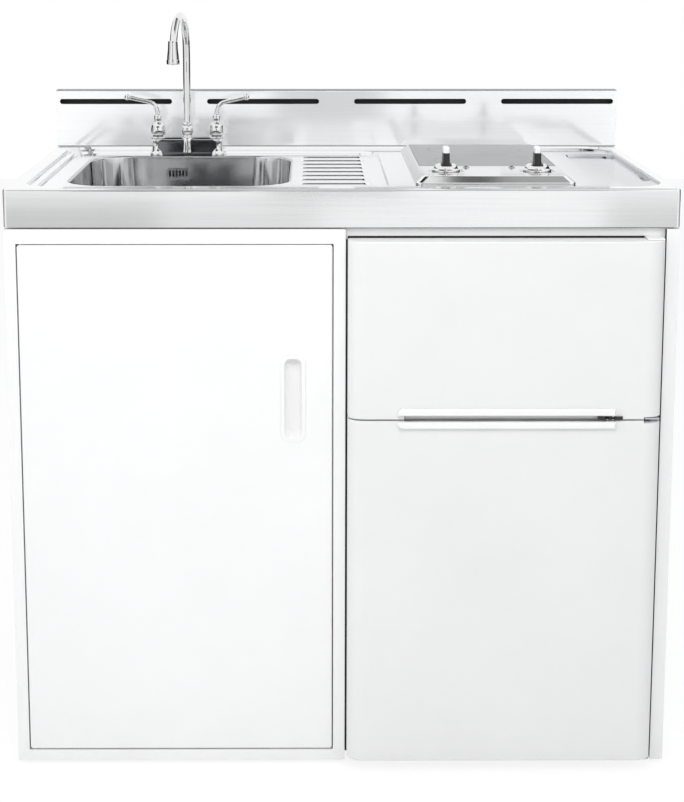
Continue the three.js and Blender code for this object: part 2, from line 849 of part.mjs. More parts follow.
// ---------------------------------------------------------------- hob
const hob = { x0: hobLeft, x1: hobRight, y0: hobFront, y1: hobBack, r: hobCornerRadius };
const glass = {
  x0: hobLeft + hobBevel + 1,
  x1: hobRight - hobBevel - 1,
  y0: hobFront + hobBevel + stripLength,
  y1: hobBack - hobBevel - 1,
  r: 3,
};
const hobX = (hobLeft + hobRight) / 2;
const glassZ = hobRise - glassThickness; // underside of the glass
const knobY = hobFront + hobBevel + knobFromFront;
const knobX = [hobX - knobSpread / 2, hobX + knobSpread / 2];
const lampX = [hobX - lampSpread / 2, hobX + lampSpread / 2];

function hobFrame() {
  const form = (g) => loft([
    ring(hob, -g, fieldZ + (g ? -past : gap), 2),
    ring(hob, -g, fieldZ + 3, 2),
    ring(hob, -g - hobBevel, hobRise - g, 2),
  ]);
  const foldY = glass.y0 - gap - hobSheet;
  const seatZ = glassZ - gap;
  const seat = join(
    block(hob.x0, hob.x1, foldY, hob.y1, seatZ - hobSheet, seatZ),
    block(hob.x0, hob.x1, foldY, foldY + hobSheet, seatZ - hobSheet, hobRise),
  ).intersect(form(0));
  const body = join(cut(form(0), form(hobSheet)), seat);
  const holes = [
    loft([ring(glass, gap, glassZ - gap, 1), ring(glass, gap, hobRise + past, 1)]),
    loft([ring(glass, -glassLedge, fieldZ - past, 1), ring(glass, -glassLedge, hobRise + past, 1)]),
    ...knobX.map((x) => rod(x, knobY, fieldZ, hobRise + past, shaftRadius + 2 * roundGap, 12)),
    ...lampX.map((x) => rod(x, knobY + lampBehindKnob, fieldZ, hobRise + past, lampStem + roundGap, 10)),
  ];
  return cut(body, ...holes);
}

const hobGlass = () => loft([
  ring(glass, 0, glassZ, 1),
  ring(glass, 0, hobRise - glassBevel, 1),
  ring(glass, -glassBevel, hobRise, 1),
]);

const panTop = fieldZ + gap + sheet;

/** The enamelled tray under the hob, hung by its flange on the edge of the cut-out. */
function hobPan() {
  const inset = -gap - roundGap;
  return cut(
    join(
      loft([ring(hobCut, inset, panTop - panDeep, 2), ring(hobCut, inset, panTop, 2)]),
      loft([ring(hobCut, panFlange, fieldZ + gap, 2), ring(hobCut, panFlange, panTop, 2)]),
    ),
    loft([
      ring(hobCut, inset - sheet, panTop - panDeep + sheet, 2),
      ring(hobCut, inset - sheet, panTop + past, 2),
    ]),
  );
}

/** A radiant element: an insulated dish with its stud, standing on the pan under the glass. */
function heatingElement() {
  const top = glassZ - hobSheet - 3 * gap;
  const foot = panTop - panDeep + sheet + gap;
  const r = elementRadius;
  return turned([
    [0, foot],
    [elementStud, foot],
    [elementStud, top - elementHeight],
    [r - 3, top - elementHeight],
    [r, top - elementHeight + 3],
    [r, top],
    [r - elementRim, top],
    [r - elementRim, top - elementWell],
    [0, top - elementWell],
  ], 16);
}

/** A rotary switch under the control strip, with the shaft that carries the knob. */
function knobSwitch() {
  const top = hobRise - hobSheet - gap;
  const half = switchSize / 2;
  const body = loft([
    { points: roundRect(-half, half, -half, half, 4, 1), z: top - switchHeight },
    { points: roundRect(-half, half, -half, half, 4, 1), z: top },
  ]);
  return join(body, rod(0, 0, top - 1, hobRise + shaftLength, shaftRadius, 10));
}

/** A knob: a turned skirt with an upright grip across it. */
function knob() {
  const z = hobRise + gap;
  const r = knobRadius;
  const skirt = turned([
    [0, z],
    [r, z],
    [r, z + 2],
    [r - 3, z + 6],
    [r - 7, z + knobSkirt - 2],
    [r - 9, z + knobSkirt],
    [0, z + knobSkirt],
  ], 20);
  const level = (thinner, shorter, height) => {
    const [x, y] = [knobBlade / 2 - thinner, r - shorter];
    return { points: roundRect(-x, x, -y, y, 5, 2), z: z + height };
  };
  const blade = loft([
    level(-1, 3, 4), level(0, 6, knobSkirt + 4), level(0, 8, knobHeight - 3), level(2, 10, knobHeight),
  ]);
  return cut(join(skirt, blade), rod(0, 0, z - past, hobRise + shaftLength + gap, shaftRadius + gap, 10));
}

const lamp = () => turned([
  [0, 0],
  [lampStem, 0],
  [lampStem, hobRise + gap],
  [lampRadius, hobRise + gap],
  [lampRadius, hobRise + 1.4],
  [lampRadius - 1.6, hobRise + 2.6],
  [0, hobRise + 3],
], 10);

// ---------------------------------------------------------------- storage cabinet
const opening = {
  x0: left + stileWidth,
  x1: storageRight - stileWidth - 1,
  z0: footHeight + bottomRail,
  z1: cabinetTop - topRail,
};
const door = {
  x0: opening.x0 + doorGap, x1: opening.x1 - doorGap, z0: opening.z0 + doorGap, z1: opening.z1 - doorGap,
};
const pinX = door.x0 + pinInset;
const pinY = pinInset;

/** The welded frame round the door: a channel open at the back. */
function frontFrame() {
  const x1 = storageRight - gap;
  return cut(
    block(left, x1, 0, frameDepth, footHeight, cabinetTop),
    block(opening.x0, opening.x1, -past, frameDepth + past, opening.z0, opening.z1),
    cut(
      block(left + sheet, x1 - sheet, sheet, frameDepth + past, footHeight + sheet, cabinetTop - sheet),
      block(
        opening.x0 - sheet, opening.x1 + sheet, 0, frameDepth + past, opening.z0 - sheet, opening.z1 + sheet,
      ),
    ),
    rod(pinX, pinY, footHeight + sheet, cabinetTop - 2 * sheet, pinRadius + gap, 12),
  );
}

/** A folded side panel: a web with flanges turned in at its front, back, top and foot. */
function sidePanel(webX, inward, y0, z0, flange) {
  const x0 = Math.min(webX, webX + inward * flange);
  const hollow = inward > 0 ? [webX + sheet, webX + flange + past] : [webX - flange - past, webX - sheet];
  return cut(
    block(x0, x0 + flange, y0, panelRear, z0, cabinetTop),
    block(...hollow, y0 + sheet, panelRear - sheet, z0 + sheet, cabinetTop - sheet),
  );
}

const panelFront = frameDepth + gap;
const feetX = [left + panelFlange / 2, right - rightPanelWidth / 2];
const feetY = [footInset, panelRear - footInset];

const studHoles = (x) => feetY.map((y) => rod(x, y, 0, footHeight + past, studRadius + roundGap, 8));
const leftPanel = () => cut(sidePanel(left, 1, panelFront, footHeight, panelFlange), ...studHoles(feetX[0]));
const partitionPanel = () => sidePanel(storageRight - gap, -1, panelFront, footHeight, panelFlange);
const rightPanel = () => cut(sidePanel(right, -1, 0, footHeight, rightPanelWidth), ...studHoles(feetX[1]));

/** The cabinet's floor: a tray between the side panels, standing on the left feet. */
function storageBase() {
  const [x0, x1] = [left + panelFlange + gap, storageRight - gap - panelFlange - gap];
  return cut(
    block(x0, x1, panelFront, panelRear - sheet - gap, footHeight, footHeight + baseHeight),
    block(x0 + sheet, x1 - sheet, panelFront + sheet, panelRear, 0, footHeight + baseHeight - sheet),
  );
}

/** The cabinet's back, with the cut-out for water and waste pipes. */
function storageBack() {
  const [x0, x1] = [left + panelFlange + gap, storageRight - gap - panelFlange - gap];
  const middle = (x0 + x1) / 2;
  const outline = [[footHeight, x0], [cabinetTop, x0], [cabinetTop, x1], [footHeight, x1]];
  const half = cutoutWidth / 2;
  const hole = roundRect(cutoutUp, cutoutUp + cutoutHeight, middle - half, middle + half, 12, 2);
  return prism(outline, 'y', panelRear - sheet, panelRear, [hole]);
}

/** A levelling foot with its stud, which goes through the panel's foot flange. */
function foot() {
  const top = footHeight - gap;
  return turned([
    [0, 0],
    [footRadius - 1, 0],
    [footRadius, 1],
    [footRadius, top - 1],
    [footRadius - 1, top],
    [studRadius, top],
    [studRadius, top + studLength],
    [0, top + studLength],
  ], 8);
}

const pull = {
  x0: door.x1 - pullFromEdge - pullWidth,
  x1: door.x1 - pullFromEdge,
  y0: pullCentre - pullHeight / 2,
  y1: pullCentre + pullHeight / 2,
  r: pullRadius,
};

/** A loft whose rings stand upright: a ring's height becomes its depth behind the face. */
const upright = (rings) => turn(loft(rings.map(({ points, z }) => ({ points, z: -z }))), 'x', 90);

/** The door's outer pan, its edges rolled and folded back. */
function doorSkin() {
  const area = { x0: door.x0, x1: door.x1, y0: door.z0, y1: door.z1, r: doorRadius };
  const k = doorRadius;
  const pan = (g) => upright([
    ring(area, -k, g, 2),
    ring(area, -0.3 * k - g * 0.7, 0.3 * k + g * 0.3, 2),
    ring(area, -g, k, 2),
    ring(area, -g, doorThickness + (g ? past : 0), 2),
  ]);
  return cut(
    pan(0),
    pan(sheet),
    upright([ring(pull, gap, -past, 3), ring(pull, gap, past, 3)]),
    rod(pinX, pinY, door.z0 - 1, door.z0 + 3, pinRadius + gap, 12),
    rod(pinX, pinY, door.z1 - 3, door.z1 + 1, pinRadius + gap, 12),
  );
}

/** The pan that closes the back of the door. */
function doorLiner() {
  const g = sheet + gap;
  const area = { x0: door.x0, x1: door.x1, y0: door.z0, y1: door.z1, r: doorRadius + g };
  return cut(
    upright([ring(area, -g, doorThickness - linerFold, 2), ring(area, -g, doorThickness, 2)]),
    upright([
      ring(area, -g - sheet, doorThickness - linerFold - past, 2),
      ring(area, -g - sheet, doorThickness - sheet, 2),
    ]),
  );
}

/** The recessed cup that fingers pull the door by. */
function doorPull() {
  return cut(
    join(
      upright([ring(pull, pullLip, -gap - 0.8, 3), ring(pull, pullLip + 0.4, -gap, 3)]),
      upright([ring(pull, 0, -gap - 0.4, 3), ring(pull, 0, 4, 3), ring(pull, -3, pullDeep, 3)]),
    ),
    upright([ring(pull, -1.4, -past, 3), ring(pull, -2, 4, 3), ring(pull, -5.5, pullDeep - pullWall, 3)]),
  );
}

/** A hinge pin through the frame's rail into the door's edge, end 1 at the top and -1 at the foot. */
function hingePin(end) {
  const edge = end > 0 ? door.z1 : door.z0;
  const [z0, z1] = [edge - end * pinLength / 2, edge + end * pinLength / 2].sort((a, b) => a - b);
  return rod(pinX, pinY, z0, z1, pinRadius, 12);
}

/** The magnetic catch behind the door's free edge, on the partition. */
function doorCatch() {
  const x1 = storageRight - gap - sheet - gap;
  const y0 = doorThickness + gap;
  const z = pullCentre + pullHeight;
  const bodyX1 = opening.x1 - 1;
  const half = catchHeight / 2;
  return join(
    block(bodyX1 - catchWidth, bodyX1, y0, y0 + catchDepth, z - half, z + half),
    block(bodyX1 - 1, x1, panelFront + sheet + gap, y0 + catchDepth, z - 0.6 * half, z + 0.6 * half),
  );
}

// ---------------------------------------------------------------- refrigerator
const bay = { x0: storageRight, x1: right - rightPanelWidth };
const fridge = {
  x0: bay.x0 + caseSideGap,
  x1: bay.x1 - caseSideGap,
  y0: caseFront,
  y1: depth - caseBackGap,
  z0: caseFootHeight,
  z1: cabinetTop - headerHeight - caseTopGap,
};
const tub = { x0: fridge.x0 + caseWall, x1: fridge.x1 - caseWall, y1: fridge.y1 - cavityBackGap };
const freezerTub = { ...tub, z0: shellSplit + freezerFloorUp, z1: fridge.z1 - caseCeiling };
const fridgeTub = { ...tub, z0: fridge.z0 + caseFloor, z1: freezerTub.z0 - caseMiddle };
const bayFront = fridge.y1 - compressorBay; // front wall of the compressor bay
const bayTop = fridge.z0 + compressorBayHeight;
const stepY = bayFront - caseFloor / 2; // lower back wall of the refrigerator's tub
const shelfZ = fridgeTub.z0 + crisperHeight + shelfOverCrisper;
const shelfY = [fridge.y0 + shelfFrontGap, stepY - shelfBackGap];
const shellX = [bay.x0 + shellLeftGap, bay.x1 - shellRightGap];
const hingeX = shellX[1] - shellHinge;

/** The strip that closes the bay over the doors. */
function fridgeHeader() {
  const [z0, z1] = [cabinetTop - headerHeight, cabinetTop];
  const [x0, x1] = [bay.x0 + gap, bay.x1 - gap];
  const y = headerBack;
  return prism([
    [y, z0], [y + headerLip, z0], [y + headerLip, z0 + sheet], [y + sheet, z0 + sheet],
    [y + sheet, z1 - sheet], [y + headerFlange, z1 - sheet], [y + headerFlange, z1], [y, z1],
  ], 'x', x0, x1);
}

/** The outer case, open at the front, with the compressor bay at its lower back and four feet. */
function fridgeCase() {
  const { x0, x1, z0, z1, y1 } = fridge;
  const y0 = fridge.y0 + linerWall + gap;
  const footX = [x0 + caseFootInset, x1 - caseFootInset];
  const footY = [y0 + caseFootInset, y1 - caseFootInset];
  const feet = footX.flatMap((x) => footY.map((y) => rod(x, y, 0, z0 + sheet / 2, caseFootRadius, 10)));
  return cut(
    join(block(x0, x1, y0, y1, z0, z1), ...feet),
    cut(
      block(x0 + sheet, x1 - sheet, y0 - past, y1 - sheet, z0 + sheet, z1 - sheet),
      block(x0, x1, bayFront - sheet, y1 + past, z0, bayTop + sheet),
    ),
    block(x0 + sheet, x1 - sheet, bayFront, y1 + past, z0 + sheet, bayTop),
  );
}

/** The moulded lining: a front frame with the freezer and refrigerator tubs behind it. */
function fridgeLiner() {
  const { x0, x1, y0, z0, z1 } = fridge;
  const g = linerWall;
  const stepUp = bayTop + caseFloor / 2;
  const chest = (space, g, front, over) => {
    const low = space === fridgeTub ? stepUp : space.z0;
    return join(
      block(space.x0 - g, space.x1 + g, front, stepY + over, space.z0 - g, space.z1 + g),
      block(space.x0 - g, space.x1 + g, front, space.y1 + g, low - g, space.z1 + g),
    );
  };
  const rails = [[tub.x0 - 1, tub.x0 + shelfRail], [tub.x1 - shelfRail, tub.x1 + 1]].map(
    (x) => block(...x, ...shelfY, shelfZ - shelfRail, shelfZ - gap),
  );
  const shell = cut(
    join(
      block(x0, x1, y0, y0 + g, z0, z1),
      chest(freezerTub, g, y0, g),
      chest(fridgeTub, g, y0, g),
    ),
    chest(freezerTub, 0, y0 - past, 0),
    chest(fridgeTub, 0, y0 - past, 0),
  );
  return join(shell, ...rails);
}

const fridgeShelf = () => block(tub.x0 + 1, tub.x1 - 1, ...shelfY, shelfZ, shelfZ + shelfThickness);

/** The open drawer for vegetables on the refrigerator's floor. */
function crisper() {
  const wall = crisperWall;
  const y0 = fridge.y0 + binDeep + crisperFrontGap;
  const [x0, x1] = [tub.x0 + crisperInset, tub.x1 - crisperInset];
  const z = fridgeTub.z0 + gap;
  const ringAt = (g, height) => ({
    points: roundRect(x0 - g, x1 + g, y0 - g, y0 + crisperDepth + g, 12, 2), z: height,
  });
  return cut(
    loft([ringAt(-crisperDraft, z), ringAt(-2, z + 8), ringAt(0, z + crisperHeight)]),
    loft([
      ringAt(-crisperDraft - wall, z + wall),
      ringAt(-2 - wall, z + 8 + wall / 2),
      ringAt(-wall, z + crisperHeight + past),
    ]),
  );
}

/** The compressor on the floor of its bay: a domed can on a foot plate. */
function compressor() {
  const z = fridge.z0 + sheet + gap;
  const r = compressorRadius;
  const h = compressorHeight;
  const base = compressorBase;
  const can = turned([
    [0, z + base - 1],
    [0.76 * r, z + base - 1],
    [0.96 * r, z + 0.13 * h],
    [r, z + 0.22 * h],
    [r, z + 0.67 * h],
    [0.9 * r, z + 0.84 * h],
    [0.55 * r, z + 0.96 * h],
    [0, z + h],
  ], 16);
  const half = compressorPlate / 2;
  const plate = block(-half, half, -0.93 * r, 0.93 * r, z, z + base);
  const x = (fridge.x0 + fridge.x1) / 2 + compressorAside;
  return move(join(can, plate), x, bayFront + compressorBay / 2, 0);
}

/** The condenser: one tube bent to and fro over the back of the case. */
function condenser() {
  const r = condenserRadius;
  const bend = condenserBend;
  const runs = condenserRuns;
  const [x0, x1] = [fridge.x0 + condenserInset + bend, fridge.x1 - condenserInset - bend];
  const y = fridge.y1 + gap + r;
  const z = bayTop + condenserUp;
  const at = (x, k) => new THREE.Vector3(x, y, z + k * 2 * bend);
  const curve = new THREE.CurvePath();
  for (let k = 0; k < runs; k += 1) {
    const [from, to] = k % 2 ? [x1, x0] : [x0, x1];
    curve.add(new THREE.LineCurve3(at(from, k), at(to, k)));
    if (k + 1 === runs) break;
    const out = Math.sign(to - from);
    const points = [0, 1, 2, 3, 4].map((i) => {
      const angle = (i / 4) * Math.PI - Math.PI / 2;
      return at(to + out * bend * Math.cos(angle), k + 0.5).setZ(
        z + (k + 0.5) * 2 * bend + bend * Math.sin(angle),
      );
    });
    curve.add(new THREE.CatmullRomCurve3(points));
  }
  return pipe(curve, r, 60, 5);
}

const shellBack = shellThickness - shellProud;
const shells = {
  freezer: { z0: shellSplit + shellSeam / 2, z1: shellTop, hand: 1 },
  fridge: { z0: shellBottom, z1: shellSplit - shellSeam / 2, hand: -1 },
};

/** The plan of a door shell, shrunk by g: round front edges, square back. */
function shellPlan(g) {
  const [x0, x1] = [shellX[0] + g, shellX[1] - g];
  const front = -shellProud + g;
  const [rx, ry] = [shellEdgeX - g, shellEdgeY - g];
  const points = [];
  for (const [x, from] of [[x0 + rx, 180], [x1 - rx, 270]]) {
    for (let i = 0; i <= 4; i += 1) {
      const angle = THREE.MathUtils.degToRad(from + i * 22.5);
      points.push([x + rx * Math.cos(angle), front + ry + ry * Math.sin(angle)]);
    }
  }
  const back = shellBack + (g ? past : 0);
  return [...points, [x1, back], [x0, back]];
}

/** A door's outer shell, open at the back, with the finger pocket and hinge notch at the seam. */
function doorShell({ z0, z1, hand }) {
  const seam = hand > 0 ? z0 : z1;
  const span = (a, b) => [seam + hand * a, seam + hand * b].sort((p, q) => p - q);
  const pocketX = [shellX[0] + gripLeft + gripTaper, shellX[0] + gripLeft + gripLength - pocketInset];
  const pocketHeight = (hand > 0 ? gripFinger : 0) + gripHeight - pocketShort;
  const form = (g) => {
    const squeeze = (points, s) => points.map(([x, y]) => [
      THREE.MathUtils.clamp(x, shellX[0] + g + s, shellX[1] - g - s), Math.max(y, -shellProud + g + s),
    ]);
    const plan = shellPlan(g);
    const body = loft([
      { points: squeeze(plan, shellSoften), z: z0 + g },
      { points: plan, z: z0 + g + shellSoften },
      { points: plan, z: z1 - g - shellSoften },
      { points: squeeze(plan, shellSoften), z: z1 - g },
    ]);
    const front = -shellProud - past;
    const notchX = hingeX - hingePlateLength / 2 - g;
    return cut(
      body,
      block(
        pocketX[0] - g, pocketX[1] + g, front, pocketDeep - shellProud + g, ...span(-past, pocketHeight + g),
      ),
      block(notchX, shellX[1] + past, front, caseFront, ...span(-past, hingeNotch + g)),
    );
  };
  const far = hand > 0 ? z1 : z0;
  const holes = [
    [seam, seam + hand * (hingeNotch + past)],
    [far - hand * past, far + hand * past],
  ].map(([a, b]) => rod(hingeX, -hingePinForward, Math.min(a, b), Math.max(a, b), hingePinRadius + gap, 12));
  return cut(form(0), form(sheet), ...holes);
}

/** A gasket ring on the back of a door. */
function doorGasket({ z0, z1 }) {
  const [x0, x1] = [shellX[0] + gasketInset, shellX[1] - gasketInset];
  const area = { x0, x1, y0: z0 + gasketInset, y1: z1 - gasketInset, r: 6 };
  return cut(
    upright([ring(area, 0, shellBack + gap, 2), ring(area, -2, caseFront - gap, 2)]),
    upright([ring(area, -gasketWidth, shellBack - 1, 2), ring(area, 2 - gasketWidth, caseFront + 1, 2)]),
  );
}

/** A door's moulded inner lining: a plate with a raised tray, which fits inside the tub. */
function doorLining({ z0, z1, hand }, space) {
  const g = sheet + gap;
  const seam = hand > 0 ? z0 : z1;
  const notch = [seam - hand * past, seam + hand * (hingeNotch + g)].sort((a, b) => a - b);
  const area = { x0: shellX[0], x1: shellX[1], y0: z0, y1: z1, r: 2 * shellSoften + g };
  const plate = cut(
    upright([ring(area, -g, shellBack - linerWall, 2), ring(area, -g, shellBack, 2)]),
    block(hingeX - hingePlateLength / 2 - g, shellX[1] + past, -shellProud, caseFront, ...notch),
  );
  const tray = {
    x0: space.x0 + trayInset,
    x1: space.x1 - trayInset,
    y0: Math.max(space.z0, z0) + trayMargin,
    y1: space.z1 - trayMargin,
    r: 10,
  };
  const [from, to] = [shellBack - linerWall, caseFront + trayReach];
  const wall = linerWall;
  return cut(
    join(plate, upright([ring(tray, 0, from, 2), ring(tray, -trayDraft, to, 2)])),
    upright([ring(tray, -wall, from - 1, 2), ring(tray, -trayDraft - wall, to - wall, 2)]),
  );
}

/** An open bottle bin across the refrigerator door's lining, its floor at height z. */
function doorBin(z) {
  const [x0, x1] = [tub.x0 + binInset, tub.x1 - binInset];
  const y1 = caseFront + trayReach + binDeep;
  const wall = binWall;
  return cut(
    block(x0, x1, caseFront + trayReach - wall, y1, z, z + binHeight),
    block(x0 + wall, x1 - wall, caseFront + trayReach, y1 - wall, z + wall, z + binHeight + past),
  );
}

/** The refrigerator door's lining with its bins. */
function fridgeDoorLining() {
  const bins = binLevelsUp.map((z) => doorBin(fridgeTub.z0 + z));
  return join(doorLining(shells.fridge, fridgeTub), ...bins);
}

/** A grip bar along the seam, its left end drawn out to a point. */
function doorGrip({ z0, z1, hand }) {
  const seam = hand > 0 ? z0 : z1;
  const low = hand > 0 ? seam + gripFinger : seam - gripHeight;
  const [x0, x1] = [shellX[0] + gripLeft, shellX[0] + gripLeft + gripLength];
  const tip = hand > 0 ? low : low + gripHeight;
  const outline = (g) => [
    [x0 + g * 2, tip + hand * g], [x1 - g, tip + hand * g], [x1 - g, tip + hand * (gripHeight - g)],
    [x0 + gripTaper, tip + hand * (gripHeight - g)],
  ];
  const rings = [
    { points: outline(0), z: -shellProud - gap },
    { points: outline(0), z: gripBevel - shellProud - gripProud },
    { points: outline(gripBevel), z: -shellProud - gripProud },
  ];
  return upright(rings);
}

const hingeTabX = [hingeX + 1, shellX[1] - hingeTabInset];
const hingeFrontY = -hingePinForward - hingeTabFront;

/** The top hinge: a stepped plate from the case's top over the freezer door, with its pin. */
function topHinge() {
  const z = fridge.z1 + gap;
  const top = shellTop + gap;
  const x = [hingeX - hingePlateLength / 2, hingeTabX[1]];
  const leg = headerBack - gap - hingePlate;
  const back = fridge.y0 + hingeTopBack;
  const plate = prism([
    [hingeFrontY, top], [leg, top], [leg, z], [back, z], [back, z + hingePlate],
    [leg + hingePlate, z + hingePlate], [leg + hingePlate, top + hingePlate], [hingeFrontY, top + hingePlate],
  ], 'x', ...x);
  return join(plate, rod(hingeX, -hingePinForward, top - hingePinEnd, top + 1, hingePinRadius, 12));
}

/** The middle hinge in the notch at the seam, with a pin up and a pin down. */
function middleHinge() {
  const [y0, y1] = [hingeFrontY, fridge.y0 - gap];
  const half = hingePlate / 2;
  const tab = hingeTabHeight;
  return join(
    block(hingeX - hingeTabHalf, hingeTabX[1], y0, y1 - 4, shellSplit - half, shellSplit + half),
    block(...hingeTabX, y1 - 5, y1, shellSplit - half, shellSplit + half),
    block(...hingeTabX, y1 - hingePlate, y1, shellSplit - tab, shellSplit + tab),
    rod(hingeX, -hingePinForward, shellSplit - hingePinLength, shellSplit + hingePinLength, hingePinRadius, 12),
  );
}

/** The bottom hinge: an angle on the case's front under the refrigerator door, with its pin. */
function bottomHinge() {
  const [y0, y1] = [hingeFrontY, fridge.y0 - gap];
  const z1 = shellBottom - gap;
  const leaf = shellBottom + 9;
  return join(
    prism([
      [y0, z1 - hingePlate], [y1, z1 - hingePlate], [y1, leaf], [y1 - hingePlate, leaf],
      [y1 - hingePlate, z1], [y0, z1],
    ], 'x', hingeX - hingeTabHalf, hingeTabX[1]),
    rod(hingeX, -hingePinForward, z1 - 1, z1 + hingePinEnd, hingePinRadius, 12),
  );
}

// ---------------------------------------------------------------- the unit
const elementSpan = glass.y1 - glass.y0 - 2 * elementMargin - elementGap;
const elementRadius = elementSpan / 4;
const elementY = [glass.y0 + elementMargin + elementRadius, glass.y1 - elementMargin - elementRadius];
const trapZ = tailBottom - gap;

const sinkPieces = [
  piece('sink_bowl', sinkBowl(), 'worktop_steel'),
  group([piece('overflow_grille', overflowGrille(), 'chrome')],
    bowlX + overflowFromCentre,
    bowl.y1 - bowlWallIn(overflowBelow + overflowHeight / 2) - gap,
    deckZ - overflowBelow),
  group([
    piece('drain_cup', drainCup(), 'chrome'),
    piece('strainer_basket', strainerBasket(), 'chrome'),
  ], bowlX, bowlY, bowlFloorZ),
  group([piece('drain_tailpiece', drainTailpiece(), 'waste_plastic')], bowlX, bowlY, tailTop),
  group([piece('waste_trap', wasteTrap(), 'waste_plastic')], bowlX, bowlY, trapZ),
];

const tapPieces = [
  piece('tap_body', tapBody(), 'chrome'),
  group([piece('spout_nut', spoutNut(), 'chrome')], 0, 0, spoutNutZ),
  group([
    piece('spout', spout(), 'chrome'),
    group([piece('aerator', aerator(), 'chrome')], 0, -spoutReach, aeratorUp),
  ], 0, 0, 0, -spoutHeading),
  group([piece('hot_handle', tapHandle(-1), 'chrome')], tapFeet[0], 0, hubZ),
  group([piece('cold_handle', tapHandle(1), 'chrome')], tapFeet[1], 0, hubZ),
];

const sides = ['left', 'right'];
const hobPieces = [
  piece('hob_frame', hobFrame(), 'worktop_steel'),
  piece('hob_glass', hobGlass(), 'ceramic_glass'),
  piece('hob_pan', hobPan(), 'black_enamel'),
  group([piece('front_element', heatingElement(), 'heater')], hobX, elementY[0]),
  group([piece('rear_element', heatingElement(), 'heater')], hobX, elementY[1]),
  ...sides.map((side, i) => group([
    piece(`${side}_knob`, knob(), 'black_plastic'),
    piece(`${side}_switch`, knobSwitch(), 'white_plastic'),
  ], knobX[i], knobY)),
  ...sides.map((side, i) => group([piece(`${side}_lamp`, lamp(), 'lamp')], lampX[i], knobY + lampBehindKnob)),
];

const topPieces = group([
  piece('worktop', worktop(), 'worktop_steel'),
  piece('backsplash', backsplash(), 'worktop_steel'),
  ...sinkPieces,
  group(tapPieces, tapX, tapBehindFront, deckZ),
  ...hobPieces,
], 0, 0, worktopTop);

const footNames = ['front_left_foot', 'front_right_foot', 'rear_left_foot', 'rear_right_foot'];
const cabinetPieces = group([
  piece('front_frame', frontFrame(), 'white_enamel'),
  piece('left_side_panel', leftPanel(), 'white_enamel'),
  piece('partition_panel', partitionPanel(), 'white_enamel'),
  piece('right_side_panel', rightPanel(), 'white_enamel'),
  piece('fridge_header', fridgeHeader(), 'white_enamel'),
  piece('storage_base', storageBase(), 'white_enamel'),
  piece('storage_back', storageBack(), 'white_enamel'),
  piece('door_skin', doorSkin(), 'white_enamel'),
  piece('door_liner', doorLiner(), 'white_enamel'),
  piece('door_pull', doorPull(), 'white_plastic'),
  piece('upper_hinge_pin', hingePin(1), 'zinc'),
  piece('lower_hinge_pin', hingePin(-1), 'zinc'),
  piece('door_catch', doorCatch(), 'white_plastic'),
  ...footNames.map((name, i) => group([piece(name, foot(), 'zinc')], feetX[i % 2], feetY[Math.floor(i / 2)])),
]);

const fridgePieces = group([
  piece('fridge_case', fridgeCase(), 'door_white'),
  piece('fridge_liner', fridgeLiner(), 'white_plastic'),
  piece('freezer_door', doorShell(shells.freezer), 'door_white'),
  piece('freezer_door_liner', doorLining(shells.freezer, freezerTub), 'white_plastic'),
  piece('freezer_gasket', doorGasket(shells.freezer), 'gasket_rubber'),
  piece('freezer_grip', doorGrip(shells.freezer), 'white_plastic'),
  piece('fridge_door', doorShell(shells.fridge), 'door_white'),
  piece('fridge_door_liner', fridgeDoorLining(), 'white_plastic'),
  piece('fridge_gasket', doorGasket(shells.fridge), 'gasket_rubber'),
  piece('fridge_grip', doorGrip(shells.fridge), 'white_plastic'),
  piece('top_hinge', topHinge(), 'white_enamel'),
  piece('middle_hinge', middleHinge(), 'zinc'),
  piece('bottom_hinge', bottomHinge(), 'zinc'),
  piece('fridge_shelf', fridgeShelf(), 'clear_glass'),
  piece('crisper', crisper(), 'clear_plastic'),
  piece('compressor', compressor(), 'black_enamel'),
  piece('condenser', condenser(), 'black_enamel'),
]);

// The box of the unit runs from the grips to the worktop's rear edge, and the origin is in its middle.
const reach = shellProud + gripProud;
const unit = group([topPieces, cabinetPieces, fridgePieces], 0, (reach - depth) / 2, 0);
unit.name = 'kitchenette_unit';

export default group([unit]);
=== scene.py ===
"""Looks of a kitchenette unit: pressed steel worktop with sink, tap and hob over a white cabinet
and a white two-door refrigerator. Metres, +Z up, the front faces -Y."""
import math

import bmesh
import bpy
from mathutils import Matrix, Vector


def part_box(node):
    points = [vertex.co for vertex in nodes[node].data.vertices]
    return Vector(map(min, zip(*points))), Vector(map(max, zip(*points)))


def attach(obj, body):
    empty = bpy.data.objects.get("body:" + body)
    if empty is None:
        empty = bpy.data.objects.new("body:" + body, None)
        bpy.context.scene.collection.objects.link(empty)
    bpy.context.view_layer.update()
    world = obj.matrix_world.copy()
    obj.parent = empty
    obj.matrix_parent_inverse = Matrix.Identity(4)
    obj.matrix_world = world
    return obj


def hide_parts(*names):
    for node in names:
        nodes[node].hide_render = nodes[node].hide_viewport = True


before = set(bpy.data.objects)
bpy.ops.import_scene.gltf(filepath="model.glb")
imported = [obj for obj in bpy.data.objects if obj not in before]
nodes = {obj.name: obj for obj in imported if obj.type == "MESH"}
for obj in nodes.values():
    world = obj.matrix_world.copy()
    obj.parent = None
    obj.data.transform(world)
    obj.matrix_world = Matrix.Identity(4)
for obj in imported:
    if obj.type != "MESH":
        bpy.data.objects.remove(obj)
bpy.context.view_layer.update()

# ------------------------------------------------------------------ camera
camera_data = bpy.data.cameras.new("camera")
camera = bpy.data.objects.new("camera", camera_data)
bpy.context.scene.collection.objects.link(camera)
bpy.context.scene.camera = camera
camera.location = (-0.044, -2.885, 1.229)
camera.rotation_euler = (math.radians(90 - 9.82), 0, math.radians(-0.19))
camera_data.sensor_width = 36
camera_data.lens = 80.79
camera_data.shift_x = 0.0303
camera_data.shift_y = -0.17
bpy.context.scene.view_settings.view_transform = "Standard"

